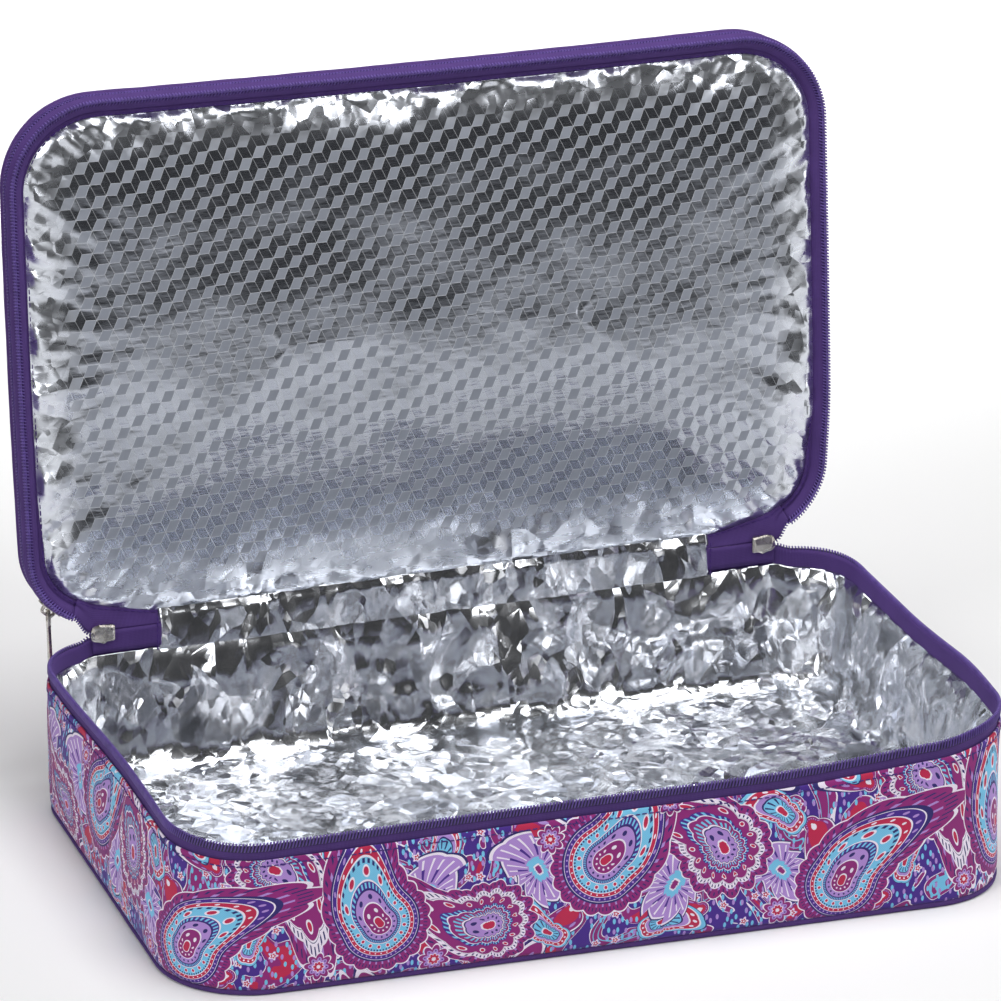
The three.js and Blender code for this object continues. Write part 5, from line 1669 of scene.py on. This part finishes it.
# one end of the zip: the lid's half of the tape, from its stitched-off end past the slider to the lid's rim
def makeZipEnd(side):
    line = endLine(side)
    low = linePoints(line, zipEnd["inset"] - 0.0001, zipEnd["split"], onTub)
    # the loose edge swings up from the slider's mouth to the lid's teeth
    a = math.radians(90 - bag["lidZipTurn"])
    rimAt, rimIn = hingeCorner(side, a)
    across = np.array(lidTape["across"], float)
    target = onLidPoint(*(rimAt + rimIn * across[-1, 0]), across[-1, 1])
    rimWay = np.array([side * math.cos(a), math.sin(a)])
    tangentEnd = onLidPoint(*(rimAt + rimWay * 0.001), 0.0) - onLidPoint(*rimAt, 0.0)
    tangentEnd /= np.linalg.norm(tangentEnd)
    tangentStart = low[-1] - low[-2]
    tangentStart /= np.linalg.norm(tangentStart)
    span = np.linalg.norm(target - low[-1])
    t = np.linspace(0, 1, zipEnd["looseRows"] + 1)[1:, None]
    curve = (
        (2 * t**3 - 3 * t**2 + 1) * low[-1] + (t**3 - 2 * t**2 + t) * span * tangentStart
        + (-2 * t**3 + 3 * t**2) * target + (t**3 - t**2) * span * tangentEnd
    )
    lower = np.concatenate([low, curve])
    # the sewn edge follows the foil's seam
    turns = np.linspace(0, a, len(lower) - straightCount + 1)[1:]
    reach = np.concatenate([np.abs(line[0][:straightCount, 0]), cornerX + turns * bag["hingeRadius"]])
    upper = []
    for r in reach:
        spot, way = hingeCorner(side, max(0.0, r - cornerX) / bag["hingeRadius"])
        spot[0] -= side * (cornerX - min(r, cornerX))
        upper.append(onLidPoint(*(spot + way * (float(hingeInset(r)) + 0.0004)), 0.0002))
    upper = np.array(upper)
    # towards the lid the strip takes on the shape of the lid's tape
    f = np.linspace(0, 1, zipEnd["columns"])[:, None]
    shape = readAt(np.linspace(0, len(across) - 1, len(f)), np.arange(len(across)), across[::-1])
    shape = np.array([onLidPoint(*(rimAt + rimIn * inset), depth) for inset, depth in shape])
    shape -= shape[0] * (1 - f) + shape[-1] * f
    rows = []
    for k in range(len(lower)):
        share = float(smooth(k / (len(lower) - 1), 0.6, 1.0))
        bowed = zipEnd["bow"] * float(smooth(k / len(lower), 0.3, 0.8)) * (1 - share)
        strip = lower[k] * (1 - f) + upper[k] * f + shape * share
        strip[:, 1] -= bowed * np.sin(math.pi * f[:, 0])
        rows.append(strip)
    rows = np.array(rows)
    name = "zipEndLeft" if side < 0 else "zipEndRight"
    uv = (runLength(rows[:, 0]), np.linspace(0, 0.012, zipEnd["columns"]))
    cloth = faceOut(thicken(skin(name + "Tape", rows, zipTape, uv=uv), zipEnd["thickness"], 0.0))
    # teeth: closed against the tub's along the straight, free beyond the slider
    straight = linePoints(line, zipEnd["teethInset"], zipEnd["teethHeight"], onTub)
    easing = np.linspace(1, 0, len(curve))[:, None]
    path = np.concatenate([straight[:-1], curve + (straight[-1] - low[-1]) * easing])
    closed = len(straight) - 1
    into = np.concatenate([np.tile([0, 0, -1.0], (closed, 1)), (lower - upper)[closed : len(path)]])
    fine = np.linspace(0, 1, 90)
    t = np.linspace(0, 1, len(path))
    run = spaced(readAt(fine, t, path), readAt(fine, t, into), tape["pitch"], tape["pitch"] / 2)
    teeth = repeated(name + "Teeth", chainShape, [run], zipNylon)
    # a row of stitches across the stitched-off end, and one along the sewn edge
    endX = side * (bag["zipEnd"] + 0.0012)
    face = zipEnd["inset"] + zipEnd["thickness"] + 0.0001
    column = onTub([(endX, face, z) for z in np.linspace(*zipEnd["endStitches"], 8)])
    sewn = rows[:, -2] + np.array([0, -zipEnd["thickness"] * 0.6, 0])
    front = [0, -1.0, 0]
    runs = [
        spaced(column, np.tile(front, (len(column), 1)), zipEnd["endPitch"]),
        spaced(sewn, np.tile(front, (len(sewn), 1)), stitches["pitch"]),
    ]
    return joined(name, [cloth, teeth, stitched(name + "Stitch", runs)])


zipEndLeft = makeZipEnd(-1)
zipEndRight = makeZipEnd(1)
print("hinge ready")


# metal: the CAD shapes with their edges rounded
metal = {"round": 0.00035, "segments": 2, "roundFrom": math.radians(35), "sharpFrom": math.radians(40)}


def rounded(name, node):
    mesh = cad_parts[node].data.copy()
    mesh.name = name
    mesh.materials.clear()
    mesh.materials.append(nickel)
    piece = newPiece(name, mesh)
    work = bmesh.new()
    work.from_mesh(mesh)
    bmesh.ops.remove_doubles(work, verts=work.verts, dist=weld)
    bmesh.ops.dissolve_limit(work, angle_limit=math.radians(1.0), verts=work.verts, edges=work.edges)
    work.to_mesh(mesh)
    work.free()
    bevel = piece.modifiers.new("round", "BEVEL")
    bevel.width = metal["round"]
    bevel.segments = metal["segments"]
    bevel.limit_method = "ANGLE"
    bevel.angle_limit = metal["roundFrom"]
    settle(piece)
    piece.data.polygons.foreach_set("use_smooth", [True] * len(piece.data.polygons))
    piece.data.set_sharp_from_angle(angle=metal["sharpFrom"])
    return piece


# the plate on the inner side of each main slider: a shield with a ridge along its middle
shield = {
    "outline": [
        (-6, 1.5), (-5, 3.6), (-2, 4.9), (1, 4.6), (4.5, 3.9), (6, 3.7),
        (6, -3.5), (3, -3.9), (0.5, -5.2), (-2.5, -4.2), (-5, -3), (-6, -1),
    ],
    "inner": 0.82, "edge": 0.0002, "bevel": 0.00075, "ridge": 0.0012, "ridgeReach": 4.4,
}


def makeShield(name, slider, side):
    low, high = (np.array(c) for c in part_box(slider))
    middle = np.array([side * cornerX, low[1], (low[2] + high[2]) / 2])
    outline = np.array(shield["outline"]) * mm
    ridge = np.clip(outline[:, 0], -shield["ridgeReach"] * mm, shield["ridgeReach"] * mm)
    rings = [
        (outline, -shield["edge"]), (outline, shield["edge"]), (outline * shield["inner"], shield["bevel"]),
        (np.stack([ridge, np.zeros(len(ridge))], 1), shield["ridge"]),
    ]
    rows = np.array([[(-side * x, -out, z) for x, z in ring] for ring, out in rings]) + middle
    rows = np.concatenate([np.tile(rows[0].mean(0), (1, len(ridge), 1)), rows])
    return faceOut(skin(name, rows, nickel, around=True, flat=True))


metalPieces = [
    ("sliderLeft", "zip_slider_left", "slider_left"),
    ("pullLeft", "zip_pull_left", "pull_left"),
    ("sliderRight", "zip_slider_right", "slider_right"),
    ("pullRight", "zip_pull_right", "pull_right"),
    ("sliderExpander", "expander_slider", "slider_expander"),
    ("pullExpander", "expander_pull", "pull_expander"),
]
for name, node, body in metalPieces:
    piece = rounded(name, node)
    if name in ("sliderLeft", "sliderRight"):
        piece = joined(name, [piece, makeShield("shield", node, -1 if name == "sliderLeft" else 1)])
    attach(piece, body)
    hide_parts(node)
print("metal ready")

# stage, light and world
studio = {
    "floorHalf": 6.0, "floorWhite": 0.92, "world": 0.05,
    "lamps": [
        # name, place, aim, width, height, power, spread in degrees
        ("topLamp", (0.0, 0.0, 1.55), (0, 0, 0), 1.1, 0.8, 9.0, 140),
        ("backLamp", (0.45, 1.15, 1.35), (0.45, 1.28, 0), 1.5, 0.7, 8.5, 90),
        ("keyLamp", (-1.7, -0.9, 1.3), (0, 0, 0.1), 0.9, 0.8, 2.4, 75),
        ("fillLamp", (1.9, -0.3, 1.2), (0, 0, 0.1), 0.8, 0.8, 1.8, 75),
        ("frontLamp", (0.4, -0.95, 1.6), (0.05, 0, 0.15), 1.0, 0.5, 2.6, 100),
        ("leftCard", (-0.88, -0.85, 0.28), (-0.2, 0.13, 0.2), 0.5, 0.5, 0.8, 180),
        ("rightCard", (1.05, -0.4, 0.26), (0.2, 0.13, 0.2), 0.5, 0.5, 0.8, 180),
    ],
}


def makeFloor():
    half = studio["floorHalf"]
    mesh = bpy.data.meshes.new("floor")
    corners = [(-half, -half, 0), (half, -half, 0), (half, half, 0), (-half, half, 0)]
    mesh.from_pydata(corners, [], [(0, 1, 2, 3)])
    mesh.materials.append(newMaterial("floorWhite", 0.9, 0.0, (studio["floorWhite"],) * 3)[0])
    return newPiece("floor", mesh)


def makeLamps():
    for name, place, aim, wide, high, power, spread in studio["lamps"]:
        data = bpy.data.lights.new(name, "AREA")
        data.shape = "RECTANGLE"
        data.size, data.size_y = wide, high
        data.energy = power
        data.spread = math.radians(spread)
        lamp = newPiece(name, data)
        lamp.location = place
        lamp.rotation_euler = (Vector(aim) - Vector(place)).to_track_quat("-Z", "Y").to_euler()


makeFloor()
makeLamps()
world = bpy.data.worlds.new("studio")
scene.world = world
world.use_nodes = True
sky = world.node_tree.nodes["Background"]
sky.inputs["Color"].default_value = (1, 1, 1, 1)
sky.inputs["Strength"].default_value = studio["world"]
for shape in (toothShape, chainShape, stitchShape):
    old = shape.data
    bpy.data.objects.remove(shape)
    bpy.data.meshes.remove(old)

# what each piece rides on and stands for
for piece, body, slot, nodes in (
    (wallCloth, "tub", "printed_cloth", ["wall_shell", "wall_foam"]),
    (wallStitch, "tub", "zip_tape", []),
    (basePiping, "tub", "violet_piping", ["base_binding"]),
    (baseCloth, "tub", "printed_cloth", ["base_panel", "base_board"]),
    (tubFoil, "tub", "silver_foil", ["wall_liner", "base_liner", "base_foam"]),
    (tubTape, "tub", "zip_tape", ["zip_tape_tub"]),
    (tubTeeth, "tub", "zip_coil", ["zip_coil_tub"]),
    (lidZipTape, "lid", "zip_tape", ["zip_tape_lid"]),
    (lidTeeth, "lid", "zip_coil", ["zip_coil_lid"]),
    (lidStitch, "lid", "zip_tape", []),
    (lidFoil, "lid", "silver_foil", ["lid_liner", "lid_foam"]),
    (lidBacking, "lid", "lining_cloth", ["lid_backing"]),
    (lowerBand, "lid", "zip_tape", ["expander_tape_lower"]),
    (lowerTeeth, "lid", "zip_coil", ["expander_coil_lower"]),
    (backLower, "lid", "printed_cloth", ["back_band_lower"]),
    (upperTape, "lid_top", "zip_tape", ["expander_tape_upper"]),
    (upperTeeth, "lid_top", "zip_coil", ["expander_coil_upper"]),
    (backUpper, "lid_top", "printed_cloth", ["back_band_upper"]),
    (topLining, "lid_top", "lining_cloth", ["top_lining"]),
    (topCloth, "lid_top", "printed_cloth", ["top_panel", "top_foam"]),
    (topPiping, "lid_top", "violet_piping", ["top_binding"]),
    (carryHandle, "lid_top", "webbing", ["carry_handle"]),
    (handleStitch, "lid_top", "webbing", []),
):
    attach(piece, body)
    if nodes:
        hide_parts(*nodes)

# cloth that crosses the hinge or the expander, fixed where it lies in place of the CAD parts it stands for
for piece, slot, nodes in (
    (hingeFoil, "silver_foil", ["hinge_liner"]),
    (hingeCloth, "printed_cloth", ["hinge_cloth"]),
    (zipEndLeft, "zip_tape", ["zip_end_tape_left", "zip_end_coil_left", "zip_bridge_left"]),
    (zipEndRight, "zip_tape", ["zip_end_tape_right", "zip_end_coil_right", "zip_bridge_right"]),
):
    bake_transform(piece)
    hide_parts(*nodes)
gussetStart = onLidPoint(0.0, bag["depth"] / 2, gusset["front"] - 0.0004)
gussetEnd = onLidPoint(0.0, bag["depth"] / 2, gusset["back"] + 0.0004)
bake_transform(gussetCloth)
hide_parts("expander_gusset")
